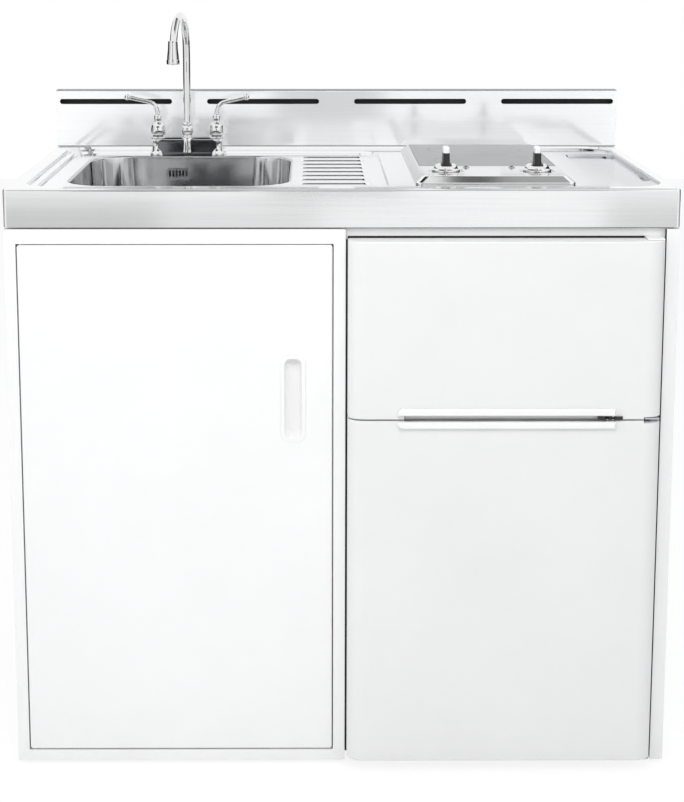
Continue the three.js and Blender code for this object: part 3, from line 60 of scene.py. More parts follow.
TINY = 1e-5  # how near an edge or a face lies to the level that it is picked by


# ------------------------------------------------------------------ modelling helpers
def deselect():
    bpy.ops.object.select_all(action="DESELECT")


def take(piece):
    """Selects one piece alone and makes it active."""
    deselect()
    piece.select_set(True)
    bpy.context.view_layer.objects.active = piece


def edit(piece, mode="FACE", everything=False):
    """Opens a piece in edit mode with nothing or everything selected and returns its edit mesh."""
    take(piece)
    bpy.ops.object.mode_set(mode="EDIT")
    bpy.ops.mesh.select_mode(type=mode)
    bpy.ops.mesh.select_all(action="SELECT" if everything else "DESELECT")
    return bmesh.from_edit_mesh(piece.data)


def close_edit():
    bpy.ops.object.mode_set(mode="OBJECT")


def edit_faces(piece, test):
    """Opens a piece with those faces selected whose middle and normal pass the test."""
    mesh = edit(piece)
    for face in mesh.faces:
        face.select_set(bool(test(face.calc_center_median(), face.normal)))
    bmesh.update_edit_mesh(piece.data)


def edit_edges(piece, test):
    """Opens a piece with those edges selected whose middle and direction pass the test."""
    mesh = edit(piece, "EDGE")
    for edge in mesh.edges:
        a, b = (v.co for v in edge.verts)
        edge.select_set(bool(test((a + b) / 2, (b - a).normalized())))
    bmesh.update_edit_mesh(piece.data)


def along(axis):
    """Picks the edges that run along an axis."""
    return lambda middle, way: abs(way[axis]) > 0.98


def around(axis, *levels):
    """Picks the edges that lie across an axis at given levels of it, as a rim does."""
    return lambda middle, way: abs(way[axis]) < 0.1 and any(
        abs(middle[axis] - level) < TINY for level in levels)


def every(*tests):
    return lambda middle, way: all(test(middle, way) for test in tests)


def upwards(middle, normal):
    return normal.z > 0.9


def block(name, low, high):
    """A box between two corners."""
    deselect()
    middle = [(a + b) / 2 for a, b in zip(low, high)]
    bpy.ops.mesh.primitive_cube_add(size=1, location=middle)
    piece = bpy.context.object
    piece.name = name
    piece.scale = [b - a for a, b in zip(low, high)]
    bpy.ops.object.transform_apply(location=True, rotation=True, scale=True)
    return piece


def bevel_edges(piece, test, radius, segments=6):
    edit_edges(piece, test)
    bpy.ops.mesh.bevel(offset=radius, offset_type="OFFSET", segments=segments, affect="EDGES")
    close_edit()


def taper(piece, axis, level, scale):
    """Scales the flat end of a piece at one level of an axis about that end's middle."""
    edit_faces(piece, lambda c, n: abs(c[axis] - level) < TINY and abs(n[axis]) > 0.9)
    bpy.ops.transform.resize(value=scale)
    close_edit()


def tub(name, low, high, radius, steps=10):
    """An upright box with round corners."""
    piece = block(name, low, high)
    bevel_edges(piece, along(2), radius, steps)
    return piece


def slot(name, low, high, radius, steps=10):
    """A box whose corners are round as seen from the front."""
    piece = block(name, low, high)
    bevel_edges(piece, along(1), radius, steps)
    return piece


def carve(piece, *tools, kind="DIFFERENCE"):
    """Cuts pieces out of a piece, or joins them to it."""
    for tool in tools:
        change = piece.modifiers.new("carve", "BOOLEAN")
        change.operation = kind
        change.solver = "EXACT"
        change.object = tool
        take(piece)
        bpy.ops.object.modifier_apply(modifier=change.name)
        bpy.data.objects.remove(tool)
    return piece


def apply(piece, kind, **settings):
    change = piece.modifiers.new("shape", kind)
    for key, value in settings.items():
        setattr(change, key, value)
    take(piece)
    bpy.ops.object.modifier_apply(modifier=change.name)
    return piece


def tidy_mesh(piece, flat=0.5):
    """Merges doubled points and joins the flat faces of a piece."""
    edit(piece, everything=True)
    bpy.ops.mesh.remove_doubles(threshold=TINY)
    bpy.ops.mesh.dissolve_limited(angle_limit=math.radians(flat))
    close_edit()
    return piece


def soften(piece, width, segments=2, angle=35):
    """Rounds the sharp edges of a piece."""
    return apply(
        piece, "BEVEL", width=width, segments=segments, limit_method="ANGLE",
        angle_limit=math.radians(angle), use_clamp_overlap=True, miter_outer="MITER_ARC",
    )


def shade(piece, angle=32):
    """Smooths a piece up to an angle, with its flat faces kept flat."""
    take(piece)
    bpy.ops.object.shade_smooth_by_angle(angle=math.radians(angle))
    return apply(piece, "WEIGHTED_NORMAL", keep_sharp=True, weight=100)


def turned(name, profile, at=(0, 0, 0), sides=48):
    """A round piece on an upright axis. Its profile goes from end to end as (radius, height)."""
    deselect()
    x, y, z = at
    (radius, height), *rest = profile
    bpy.ops.mesh.primitive_circle_add(
        vertices=sides, radius=radius, fill_type="NGON", location=(x, y, z + height))
    piece = bpy.context.object
    piece.name = name
    bpy.ops.object.transform_apply(location=True, rotation=True, scale=True)
    edit(piece, everything=True)
    for next_radius, next_height in rest:
        rise = (0, 0, next_height - height)
        bpy.ops.mesh.extrude_region_move(TRANSFORM_OT_translate={"value": rise})
        ratio = next_radius / radius
        bpy.ops.transform.resize(value=(ratio, ratio, 1), center_override=(x, y, z + next_height))
        radius, height = next_radius, next_height
    bpy.ops.mesh.select_all(action="SELECT")
    bpy.ops.mesh.normals_make_consistent(inside=False)
    close_edit()
    return piece


def bar(name, points, radii, sides):
    """A round bar bent smoothly through points, with a radius at each."""
    deselect()
    bpy.ops.curve.primitive_bezier_curve_add(location=(0, 0, 0))
    piece = bpy.context.object
    piece.name = name
    curve = piece.data
    curve.dimensions = "3D"
    curve.bevel_depth = 1.0
    curve.bevel_resolution = sides // 4 - 1
    curve.resolution_u = 10
    curve.use_fill_caps = True
    spline = curve.splines[0]
    spline.bezier_points.add(len(points) - 2)
    for knot, place, radius in zip(spline.bezier_points, points, radii):
        knot.co = place
        knot.radius = radius
        knot.handle_left_type = knot.handle_right_type = "AUTO"
    bpy.ops.object.convert(target="MESH")
    piece = bpy.context.object
    edit(piece, everything=True)
    bpy.ops.mesh.remove_doubles(threshold=TINY)
    bpy.ops.mesh.normals_make_consistent(inside=False)
    close_edit()
    return piece


def joined(name, *parts):
    deselect()
    for part in parts:
        part.select_set(True)
    bpy.context.view_layer.objects.active = parts[0]
    bpy.ops.object.join()
    piece = bpy.context.object
    piece.name = name
    return piece


def spin_about(piece, degrees, centre, axis="Z"):
    """Turns a piece's mesh about a point. Seen along the axis, positive degrees go anticlockwise."""
    edit(piece, everything=True)
    bpy.ops.transform.rotate(value=math.radians(degrees), orient_axis=axis, center_override=centre)
    close_edit()
    return piece


def shifted(piece, shift):
    """Moves a piece's mesh."""
    edit(piece, everything=True)
    bpy.ops.transform.translate(value=shift)
    close_edit()
    return piece


def copied(piece, name, shift):
    """A copy with its own mesh, moved by the shift."""
    twin = bpy.data.objects.new(name, piece.data.copy())
    bpy.context.scene.collection.objects.link(twin)
    return shifted(twin, shift)


def formed(node, width=0.0, segments=2, angle=40, smooth=32, merge=True):
    """A copy of a CAD node with rounded edges; its flat faces are merged unless they have holes."""
    source = nodes[node]
    mesh = source.data.copy()
    mesh.transform(source.matrix_world)
    piece = bpy.data.objects.new(node + "_formed", mesh)
    bpy.context.scene.collection.objects.link(piece)
    if merge:
        tidy_mesh(piece)
    if width:
        soften(piece, width, segments, angle)
    return shade(piece, smooth)


def dress(piece, body, material_slot, material, *replaced):
    """Gives a piece its material, its body and the CAD nodes that it stands for."""
    piece.data.materials.clear()
    piece.data.materials.append(material)
    for face in piece.data.polygons:
        face.material_index = 0
    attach(piece, body)
    if replaced:
        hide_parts(*replaced)
    return piece


# ------------------------------------------------------------------ places taken from the frame
BODY = "cabinet"
top_low, top_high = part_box("worktop")
left, front, apron_foot = top_low
right, back, rim = top_high
field_z = rim - 0.004
deck_z = rim - 0.008
sheet = 0.0015
hob_low, hob_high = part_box("hob_frame")
glass_low, glass_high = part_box("hob_glass")
bowl_low, bowl_high = Vector((-0.418, -0.187, 0.733)), Vector((-0.080, 0.215, 0.883))
bowl_middle = (bowl_low + bowl_high) / 2
bowl_radius = 0.065
bowl_lip = 0.004
tap_at = Vector((-0.260, 0.237, deck_z))
tap_half = 0.0508
KNOBS = [(0.162, -0.135, "left"), (0.302, -0.135, "right")]


# ------------------------------------------------------------------ effects shared by materials
def new_effect(name, inputs, outputs):
    effect = bpy.data.node_groups.new(name, "ShaderNodeTree")
    for label, kind, value in inputs:
        socket = effect.interface.new_socket(name=label, in_out="INPUT", socket_type=kind)
        if value is not None:
            socket.default_value = value
    for label in outputs:
        effect.interface.new_socket(name=label, in_out="OUTPUT", socket_type="NodeSocketFloat")
    return effect, effect.nodes.new("NodeGroupInput"), effect.nodes.new("NodeGroupOutput")


def math_node(tree, operation, *values):
    node = tree.nodes.new("ShaderNodeMath")
    node.operation = operation
    node.use_clamp = operation in ("MULTIPLY", "ADD")
    for socket, value in zip(node.inputs, values):
        if isinstance(value, (int, float)):
            socket.default_value = value
        else:
            tree.links.new(value, socket)
    return node.outputs[0]


def range_node(tree, value, low, high, out_low=0.0, out_high=1.0):
    node = tree.nodes.new("ShaderNodeMapRange")
    tree.links.new(value, node.inputs["Value"])
    settings = {"From Min": low, "From Max": high, "To Min": out_low, "To Max": out_high}
    for key, setting in settings.items():
        if isinstance(setting, (int, float)):
            node.inputs[key].default_value = setting
        else:
            tree.links.new(setting, node.inputs[key])
    return node.outputs[0]


def noise_node(tree, vector, scale, detail=3.0, roughness=0.55):
    node = tree.nodes.new("ShaderNodeTexNoise")
    node.inputs["Detail"].default_value = detail
    node.inputs["Roughness"].default_value = roughness
    tree.links.new(vector, node.inputs["Vector"])
    if isinstance(scale, (int, float)):
        node.inputs["Scale"].default_value = scale
    else:
        tree.links.new(scale, node.inputs["Scale"])
    return node.outputs["Fac"]


def stretched(tree, vector, stretch):
    node = tree.nodes.new("ShaderNodeVectorMath")
    node.operation = "MULTIPLY"
    tree.links.new(vector, node.inputs[0])
    if hasattr(stretch, "is_output"):
        tree.links.new(stretch, node.inputs[1])
    else:
        node.inputs[1].default_value = stretch
    return node.outputs[0]


PLACE = ("Place", "NodeSocketVector", None)


def make_mottle():
    effect, entry, result = new_effect(
        "mottle", [PLACE, ("Scale", "NodeSocketFloat", 10.0)], ["Mask"])
    value = noise_node(effect, entry.outputs["Place"], entry.outputs["Scale"], 4.0, 0.6)
    effect.links.new(range_node(effect, value, 0.3, 0.7), result.inputs["Mask"])
    return effect


def make_brushing():
    """Fine parallel lines of a brushed or rolled surface, along the axis with the small stretch."""
    effect, entry, result = new_effect(
        "brushing",
        [PLACE, ("Stretch", "NodeSocketVector", (1.0, 40.0, 40.0)), ("Scale", "NodeSocketFloat", 40.0)],
        ["Lines", "Bands"])
    place = stretched(effect, entry.outputs["Place"], entry.outputs["Stretch"])
    fine = noise_node(effect, place, entry.outputs["Scale"], 2.0, 0.7)
    wide_scale = math_node(effect, "DIVIDE", entry.outputs["Scale"], 7.0)
    wide = noise_node(effect, place, wide_scale, 2.0, 0.5)
    effect.links.new(fine, result.inputs["Lines"])
    effect.links.new(range_node(effect, wide, 0.3, 0.7), result.inputs["Bands"])
    return effect


def make_pebble():
    """The soft bumps of a powder coat or a textured sheet."""
    effect, entry, result = new_effect(
        "pebble", [PLACE, ("Scale", "NodeSocketFloat", 400.0)], ["Height"])
    cells = effect.nodes.new("ShaderNodeTexVoronoi")
    cells.feature = "SMOOTH_F1"
    effect.links.new(entry.outputs["Place"], cells.inputs["Vector"])
    effect.links.new(entry.outputs["Scale"], cells.inputs["Scale"])
    noise = noise_node(effect, entry.outputs["Place"], entry.outputs["Scale"], 2.0)
    half = math_node(effect, "MULTIPLY", cells.outputs["Distance"], 0.6)
    effect.links.new(math_node(effect, "ADD", half, math_node(effect, "MULTIPLY", noise, 0.4)),
                     result.inputs["Height"])
    return effect


def make_hairlines():
    """Sparse fine scratches."""
    effect, entry, result = new_effect(
        "hairlines", [PLACE, ("Scale", "NodeSocketFloat", 30.0)], ["Mask"])
    lines = None
    for stretch in ((1.0, 26.0, 9.0), (21.0, 1.6, 7.0), (9.0, 14.0, 1.0)):
        place = stretched(effect, entry.outputs["Place"], stretch)
        thin = range_node(effect, noise_node(effect, place, entry.outputs["Scale"], 1.0), 0.70, 0.74)
        lines = thin if lines is None else math_node(effect, "MAXIMUM", lines, thin)
    patch = range_node(effect, noise_node(effect, entry.outputs["Place"], 9.0, 1.0), 0.48, 0.6)
    effect.links.new(math_node(effect, "MULTIPLY", lines, patch), result.inputs["Mask"])
    return effect


def make_settled_dust():
    """A thin veil of dust that fades with height above the floor."""
    effect, entry, result = new_effect(
        "settled_dust", [PLACE, ("Height", "NodeSocketFloat", 0.12)], ["Mask"])
    split = effect.nodes.new("ShaderNodeSeparateXYZ")
    effect.links.new(entry.outputs["Place"], split.inputs[0])
    low = range_node(effect, split.outputs["Z"], 0.0, entry.outputs["Height"], 1.0, 0.0)
    veil = range_node(effect, noise_node(effect, entry.outputs["Place"], 26.0, 5.0), 0.35, 0.75)
    effect.links.new(math_node(effect, "MULTIPLY", low, veil), result.inputs["Mask"])
    return effect


EFFECTS = {
    "mottle": make_mottle(),
    "brushing": make_brushing(),
    "pebble": make_pebble(),
    "hairlines": make_hairlines(),
    "settled_dust": make_settled_dust(),
}


# ------------------------------------------------------------------ materials
class Finish:
    """A material under construction: its tree, its shader and the object coordinates."""

    def __init__(self, name, **constants):
        self.material = bpy.data.materials.new(name)
        self.material.use_nodes = True
        self.tree = self.material.node_tree
        self.shader = self.tree.nodes["Principled BSDF"]
        self.place = self.tree.nodes.new("ShaderNodeTexCoord").outputs["Object"]
        for key, value in constants.items():
            self.shader.inputs[key.replace("_", " ")].default_value = value

    def effect(self, name, output, **values):
        node = self.tree.nodes.new("ShaderNodeGroup")
        node.node_tree = EFFECTS[name]
        self.tree.links.new(self.place, node.inputs["Place"])
        for key, value in values.items():
            node.inputs[key].default_value = value
        return node.outputs[output]

    def axes(self):
        split = self.tree.nodes.new("ShaderNodeSeparateXYZ")
        self.tree.links.new(self.place, split.inputs[0])
        return split.outputs

    def work(self, operation, *values):
        return math_node(self.tree, operation, *values)

    def times(self, *values):
        return self.work("MULTIPLY", *values)

    def plus(self, *values):
        return self.work("ADD", *values)

    def ramp(self, value, low, high, *out):
        return range_node(self.tree, value, low, high, *out)

    def mix(self, mask, low, high):
        node = self.tree.nodes.new("ShaderNodeMix")
        node.data_type = "RGBA"
        self.tree.links.new(mask, node.inputs["Factor"])
        for socket, value in zip((node.inputs[6], node.inputs[7]), (low, high)):
            if isinstance(value, tuple):
                socket.default_value = (*value, 1.0)
            else:
                self.tree.links.new(value, socket)
        return node.outputs[2]

    def colour(self, value):
        self.tree.links.new(value, self.shader.inputs["Base Color"])

    def roughness(self, mask, low, high):
        self.tree.links.new(self.ramp(mask, 0.0, 1.0, low, high), self.shader.inputs["Roughness"])

    def relief(self, height, strength, distance=0.0001):
        node = self.tree.nodes.new("ShaderNodeBump")
        node.inputs["Strength"].default_value = strength
        node.inputs["Distance"].default_value = distance
        self.tree.links.new(height, node.inputs["Height"])
        self.tree.links.new(node.outputs[0], self.shader.inputs["Normal"])


def grey(value, warmth=0.0):
    return (value * (1 + warmth), value, value * (1 - warmth))


def landing_painted_shade_mask(finish):
    """Where painted shade darkens the landing at the right end of the worktop, without the rims and the
    apron round it.
    """
    place = finish.axes()
    end = finish.ramp(place["X"], hob_high.x, hob_high.x + 0.078)
    inside = finish.ramp(place["Z"], field_z + 0.0015, field_z + 0.0005)
    above = finish.ramp(place["Z"], deck_z - 0.0030, deck_z - 0.0015)
    behind = finish.ramp(place["Y"], front + 0.007, front + 0.023)
    return finish.times(finish.times(end, finish.times(inside, above)), behind)


def steel(name, stretch, tone, rough, lines, metal=1.0, landing=False):
    """Satin stainless sheet, brushed along one axis, with faint rolling bands and fine scratches."""
    finish = Finish(name, Metallic=metal)
    bands = finish.effect("brushing", "Bands", Stretch=stretch, Scale=40.0)
    fine = finish.effect("brushing", "Lines", Stretch=stretch, Scale=40.0)
    scratches = finish.effect("hairlines", "Mask", Scale=34.0)
    body = finish.mix(bands, grey(tone * 0.96, -0.008), grey(tone, -0.004))
    if landing:
        # painted shade: the landing gets a darker grey than the rest of the sheet, standing in for the
        # darker reflection it shows
        body = finish.mix(landing_painted_shade_mask(finish), body, (0.52, 0.53, 0.55))
    scratched = grey(min(1.0, tone * 1.05))
    finish.colour(finish.mix(finish.times(scratches, 0.25), body, scratched))
    clouds = finish.effect("mottle", "Mask", Scale=7.0)
    finish.roughness(finish.plus(finish.times(fine, 0.7), finish.times(clouds, 0.3)), *rough)
    finish.relief(finish.plus(fine, finish.times(scratches, 0.5)), lines, 0.0002)
    return finish.material


def coated(name, low, high, rough, pebble_scale, strength, dust=0.0, coat=0.0):
    """Powder coat, enamel or moulded plastic: a soft bumped skin with faint tone shifts."""
    finish = Finish(name, Coat_Weight=coat, Coat_Roughness=0.12)
    tone = finish.mix(finish.effect("mottle", "Mask", Scale=5.0), low, high)
    if dust:
        veil = finish.times(finish.effect("settled_dust", "Mask", Height=0.10), dust)
        tone = finish.mix(veil, tone, (0.62, 0.60, 0.56))
    finish.colour(tone)
    finish.roughness(finish.effect("mottle", "Mask", Scale=9.0), *rough)
    finish.relief(finish.effect("pebble", "Height", Scale=pebble_scale), strength)
    return finish.material


def polished(name, tone, rough, tint=(1.0, 1.0, 1.0)):
    """Chrome plate with faint water marks."""
    finish = Finish(name, Metallic=1.0)
    marks = finish.effect("mottle", "Mask", Scale=55.0)
    high = tuple(tone * c for c in tint)
    finish.colour(finish.mix(marks, tuple(0.97 * c for c in high), high))
    finish.roughness(marks, *rough)
    finish.relief(finish.effect("mottle", "Mask", Scale=220.0), 0.03)
    return finish.material


def hob_glass_finish(centres, radius):
    """Black ceramic glass with a fine grain and a printed ring round each cooking zone."""
    finish = Finish("hob_glass", IOR=1.5, Coat_Weight=0.0)
    place = finish.axes()
    rings = None
    for x, y in centres:
        dx, dy = finish.work("SUBTRACT", place["X"], x), finish.work("SUBTRACT", place["Y"], y)
        square = finish.plus(finish.work("POWER", dx, 2.0), finish.work("POWER", dy, 2.0))
        off = finish.work("ABSOLUTE", finish.work("SUBTRACT", finish.work("SQRT", square), radius))
        ring = finish.ramp(off, 0.0012, 0.0018, 1.0, 0.0)
        rings = ring if rings is None else finish.work("MAXIMUM", rings, ring)
    grain = finish.effect("mottle", "Mask", Scale=700.0)
    body = finish.mix(grain, (0.012, 0.012, 0.013), (0.022, 0.022, 0.024))
    finish.colour(finish.mix(rings, body, (0.10, 0.10, 0.105)))
    smear = finish.effect("mottle", "Mask", Scale=9.0)
    finish.roughness(finish.plus(finish.times(smear, 0.5), finish.times(rings, 0.5)), 0.06, 0.22)
    finish.relief(grain, 0.04)
    return finish.material


def clear(name, tint, rough, ior, ripple):
    """Glass or clear plastic with faint smears and a slight ripple."""
    finish = Finish(name, Transmission_Weight=1.0, IOR=ior)
    marks = finish.effect("mottle", "Mask", Scale=30.0)
    finish.colour(finish.mix(marks, tuple(0.96 * c for c in tint), tint))
    finish.roughness(marks, rough, rough + 0.06)
    finish.relief(finish.effect("pebble", "Height", Scale=260.0), ripple, 0.0003)
    return finish.material


LONG_GRAIN = (1.0, 45.0, 45.0)  # brushed from end to end of the unit
UPRIGHT_GRAIN = (30.0, 30.0, 1.5)  # drawn down into the bowl
# landing=True paints shade on the landing
steel_top = steel("worktop_steel", LONG_GRAIN, 0.94, (0.07, 0.12), 0.015, landing=True)
# the bowl's steel is a darker copy of the worktop's: painted shade inside the bowl
painted_shade_bowl = steel("bowl_painted_shade_steel", UPRIGHT_GRAIN, 0.74, (0.06, 0.11), 0.04)
steel_hob = steel("hob_steel", LONG_GRAIN, 0.92, (0.08, 0.14), 0.02)
# a dark steel for thin strips: painted shade along the splash's top edge and its foot
painted_shade_strip_steel = steel("painted_shade_strip_steel", LONG_GRAIN, 0.30, (0.30, 0.42), 0.05)
# the splash's steel is near white and mostly not metal: a painted sheen for the white it reflects
painted_sheen_splash = steel("splash_painted_sheen_steel", LONG_GRAIN, 0.98, (0.07, 0.10), 0.01, metal=0.30)
chrome = polished("tap_chrome", 0.84, (0.02, 0.05))
# a dark copy of the chrome for the tap's bridge: painted shade for the dark reflection it shows
shade_painted_chrome = polished("bridge_painted_shade_chrome", 0.34, (0.04, 0.10), (0.97, 1.0, 1.04))
drain_chrome = polished("drain_chrome", 0.80, (0.08, 0.18))
zinc = polished("zinc_plate", 0.62, (0.28, 0.42), (0.98, 1.0, 1.03))
black_plastic = coated("black_plastic", grey(0.012), grey(0.02), (0.24, 0.36), 900.0, 0.08)
white_cap = coated("white_cap", grey(0.86), grey(0.90), (0.2, 0.3), 900.0, 0.04, coat=0.3)
white_enamel = coated(
    "cabinet_enamel", grey(0.85, 0.002), grey(0.88, 0.002), (0.28, 0.34), 240.0, 0.02, dust=0.10)
door_white = coated(
    "fridge_door_coat", grey(0.77, 0.004), grey(0.80, 0.004), (0.30, 0.42), 330.0, 0.10, dust=0.10)
white_plastic = coated(
    "white_plastic", grey(0.84, 0.004), grey(0.88, 0.004), (0.28, 0.40), 760.0, 0.05)
liner_plastic = coated(
    "liner_plastic", grey(0.84, 0.006), grey(0.88, 0.006), (0.30, 0.40), 500.0, 0.04)
gasket_rubber = coated("gasket_rubber", grey(0.52), grey(0.60), (0.55, 0.7), 820.0, 0.12)
waste_plastic = coated(
    "waste_plastic", grey(0.74, 0.01), grey(0.80, 0.012), (0.34, 0.46), 500.0, 0.08)
black_enamel = coated("black_enamel", grey(0.018), grey(0.03), (0.34, 0.5), 420.0, 0.2, dust=0.4)
heater = coated("heater_fibre", (0.20, 0.13, 0.10), (0.34, 0.26, 0.22), (0.7, 0.9), 260.0, 0.6)
lamp_red = coated(
    "lamp_lens", (0.07, 0.008, 0.007), (0.10, 0.010, 0.008), (0.10, 0.16), 900.0, 0.05, coat=0.5)
index_red = coated("hot_index", (0.45, 0.02, 0.02), (0.55, 0.03, 0.03), (0.2, 0.3), 900.0, 0.04)
index_blue = coated("cold_index", (0.02, 0.08, 0.42), (0.03, 0.10, 0.52), (0.2, 0.3), 900.0, 0.04)
# near black: the print of the power marks, and painted shade in the vent channel and in the gaps round the
# refrigerator's doors
print_and_shade_black = coated("print_and_painted_shade_black", grey(0.008), grey(0.014), (0.5, 0.7), 700.0, 0.1)
clear_glass = clear("shelf_glass", (0.90, 0.97, 0.95), 0.02, 1.45, 0.02)
clear_plastic = clear("crisper_plastic", (0.90, 0.95, 0.98), 0.10, 1.40, 0.10)


# ------------------------------------------------------------------ worktop
def pressing(name, low, high, radius, mouth, drop):
    """A tool for a shallow pressing: its wall slopes a little from the mouth to the floor."""
    slope = 0.0022
    floor, past = low[2] - drop, rim + 0.02
    tool = tub(name, (*low[:2], floor), (*high[:2], past), radius)
    grow = slope * (past - floor) / (mouth - low[2])
    long, wide = (b - a for a, b in zip(low[:2], high))
    taper(tool, 2, floor, ((long - 2 * slope) / long, (wide - 2 * slope) / wide, 1))
    out = grow - slope
    taper(tool, 2, past, ((long + 2 * out) / long, (wide + 2 * out) / wide, 1))
    return tool


def pressings(drop):
    """The tools that press the field, the sink surround, the landing and eight drainer flutes."""
    field = pressing(
        "field", (left + 0.025, front + 0.025, field_z), (right - 0.017, back - 0.030), 0.05, rim, drop)
    surround = pressing(
        "surround", (left + 0.040, front + 0.044, deck_z), (hob_low.x - 0.040, back - 0.066), 0.04,
        field_z, drop)
    landing = pressing(
        "landing", (hob_high.x + 0.038, front + 0.115, deck_z),
        (hob_high.x + 0.123, front + 0.495), 0.022, field_z, drop)
    count, first, pitch, half, deep = 8, front + 0.119, 0.0514, 0.012, 0.0012
    start, end = bowl_high.x + 0.016, hob_low.x - 0.066
    floor, mouth = deck_z - deep - drop, deck_z + deep - drop
    flute = tub("flute", (start, first - half, floor), (end, first + half, mouth), 0.0118, steps=6)
    length = end - start
    for level, out in ((floor, -deep), (mouth, deep)):
        taper(flute, 2, level, ((length + 2 * out) / length, (half + out) / half, 1))
    return [field, surround, landing, flute] + [
        copied(flute, "flute", (0, i * pitch, 0)) for i in range(1, count)]


def worktop():
    piece = block("worktop_sheet", (left, front, apron_foot), (right, back, rim))
    bevel_edges(piece, along(2), 0.006, 4)
    bevel_edges(piece, around(2, rim), 0.004, 4)
    carve(piece, *pressings(0))
    tidy_mesh(piece, 0.2)
    apply(piece, "BEVEL", width=0.0014, segments=3, limit_method="ANGLE",
          angle_limit=math.radians(24), use_clamp_overlap=True)
    # the underside follows the pressings, and the apron's foot is folded back
    hollow = block("underside", (left + sheet, front + sheet, apron_foot + sheet),
                   (right - sheet, back - sheet, rim - sheet))
    bevel_edges(hollow, along(2), 0.0045, 4)
    carve(hollow, *pressings(sheet))
    fold = 0.016
    foot = block("foot_opening", (left + fold, front + fold, apron_foot - fold),
                 (right - fold, back - fold, apron_foot + 2 * sheet))
    low, past = deck_z - 0.03, rim + 0.02
    lip = Vector((bowl_lip, bowl_lip))
    seat = Vector((0.012, 0.012))
    holes = [
        tub("bowl_hole", (*(bowl_low.xy - lip), low), (*(bowl_high.xy + lip), past),
            bowl_radius + bowl_lip, steps=14),
        tub("hob_hole", (*(hob_low.xy + seat), low), (*(hob_high.xy - seat), past), 0.01, steps=4),
    ] + [
        turned("shank_hole", [(0.011, -0.03), (0.011, 0.02)], tap_at + Vector((side * tap_half, 0, 0)), 32)
        for side in (-1, 1)]
    carve(piece, hollow, foot, *holes)
    dress(shade(piece, 40), BODY, "worktop_steel", steel_top, "worktop")


def bowl_form(name, grow, roll=0.0):
    """The bowl's outside or inside; the inside ends in a rolled mouth drawn up past the deck."""
    low = bowl_low - Vector((grow, grow, grow))
    high = bowl_high + Vector((grow, grow, -roll))
    piece = block(name, low, high)
    size = high - low
    draft = 0.008
    taper(piece, 2, low.z, ((size.x - 2 * draft) / size.x, (size.y - 2 * draft) / size.y, 1))
    bevel_edges(piece, along(2), bowl_radius + grow, 14)
    bevel_edges(piece, around(2, low.z), 0.030 + grow, 8)
    if not roll:
        return piece
    edit_faces(piece, upwards)
    wide, tall, steps = 0.0, 0.0, 6
    for k in range(1, steps + 1):
        angle = k * math.pi / 2 / steps
        next_wide, next_tall = roll * (1 - math.cos(angle)), roll * math.sin(angle)
        bpy.ops.mesh.extrude_region_move(TRANSFORM_OT_translate={"value": (0, 0, next_tall - tall)})
        growth = [(side + 2 * next_wide) / (side + 2 * wide) for side in size.xy]
        bpy.ops.transform.resize(value=(*growth, 1))
        wide, tall = next_wide, next_tall
    bpy.ops.mesh.extrude_region_move(TRANSFORM_OT_translate={"value": (0, 0, 0.010)})
    close_edit()
    return piece


def sink_bowl():
    """The bowl with its rolled lip, which ends flush with the deck."""
    piece = bowl_form("sink_bowl_pressed", sheet)
    lip = bowl_lip - 0.0001
    collar = tub("collar", bowl_low.xy.to_3d() + Vector((-lip, -lip, bowl_high.z - lip)),
                 bowl_high + Vector((lip, lip, 0)), bowl_radius + lip, steps=14)
    carve(piece, collar, kind="UNION")
    drain_at = (bowl_middle.x, bowl_middle.y, bowl_low.z)
    drain_hole = turned("drain_hole", [(0.046, -0.02), (0.046, 0.02)], drain_at, 64)
    overflow_at = Vector((bowl_middle.x - 0.026, bowl_high.y, deck_z - 0.030))
    reach = Vector((0.017, 0.02, 0.006))
    overflow = block("overflow_hole", overflow_at - reach, overflow_at + reach)
    carve(piece, bowl_form("inside", 0, 0.0034), drain_hole, overflow)
    dress(shade(piece, 40), BODY, "worktop_steel", painted_shade_bowl, "sink_bowl")


def backsplash():
    low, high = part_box("backsplash")
    trim = 0.0001  # by which the sheet stays behind its own edges
    piece = block("backsplash_sheet", (low.x + trim, low.y, low.z), (high.x - trim, high.y - trim, high.z))
    bevel_edges(piece, every(along(0), around(2, high.z), around(1, low.y)), 0.003, 4)
    shade_strip_tall = 0.0012
    carve(piece, block("hollow", (low.x + sheet, low.y + sheet, low.z - 0.01),
                       (high.x - sheet, high.y + 0.01, high.z - shade_strip_tall - sheet)))
    vent_pitch, vent_z = 0.26, 0.9706
    vent_half = Vector((0.099, 0.005, 0.0045))
    for i in range(4):
        vent_at = Vector(((i - 1.5) * vent_pitch, low.y, vent_z))
        carve(piece, slot("vent", vent_at - vent_half, vent_at + vent_half, 0.0044, 6))
    carve(piece, block("shade_strip_cut", (low.x - 0.01, low.y - 0.01, high.z - shade_strip_tall),
                       (high.x + 0.01, high.y + 0.01, high.z + 0.01)))
    soften(piece, 0.0004, 2, 50)
    dress(shade(piece), BODY, "worktop_steel", painted_sheen_splash, "backsplash")
    # the strip along the top edge is dark steel: painted shade for the dark line along the sheet's top
    edge = block("backsplash_edge_shade", (low.x, low.y, high.z - shade_strip_tall + trim), high)
    soften(edge, 0.0005, 3, 40)
    dress(shade(edge), BODY, "worktop_steel", painted_shade_strip_steel)
    # a dark strip along the joint where it stands on the worktop: the joint darkened with painted shade
    foot = block("backsplash_foot_shade", (low.x, low.y - 0.0006, low.z),
                 (high.x, low.y + 0.0002, low.z + 0.0013))
    soften(foot, 0.0002, 2, 40)
    dress(shade(foot), BODY, "worktop_steel", painted_shade_strip_steel)
    vent_channel(low, high)


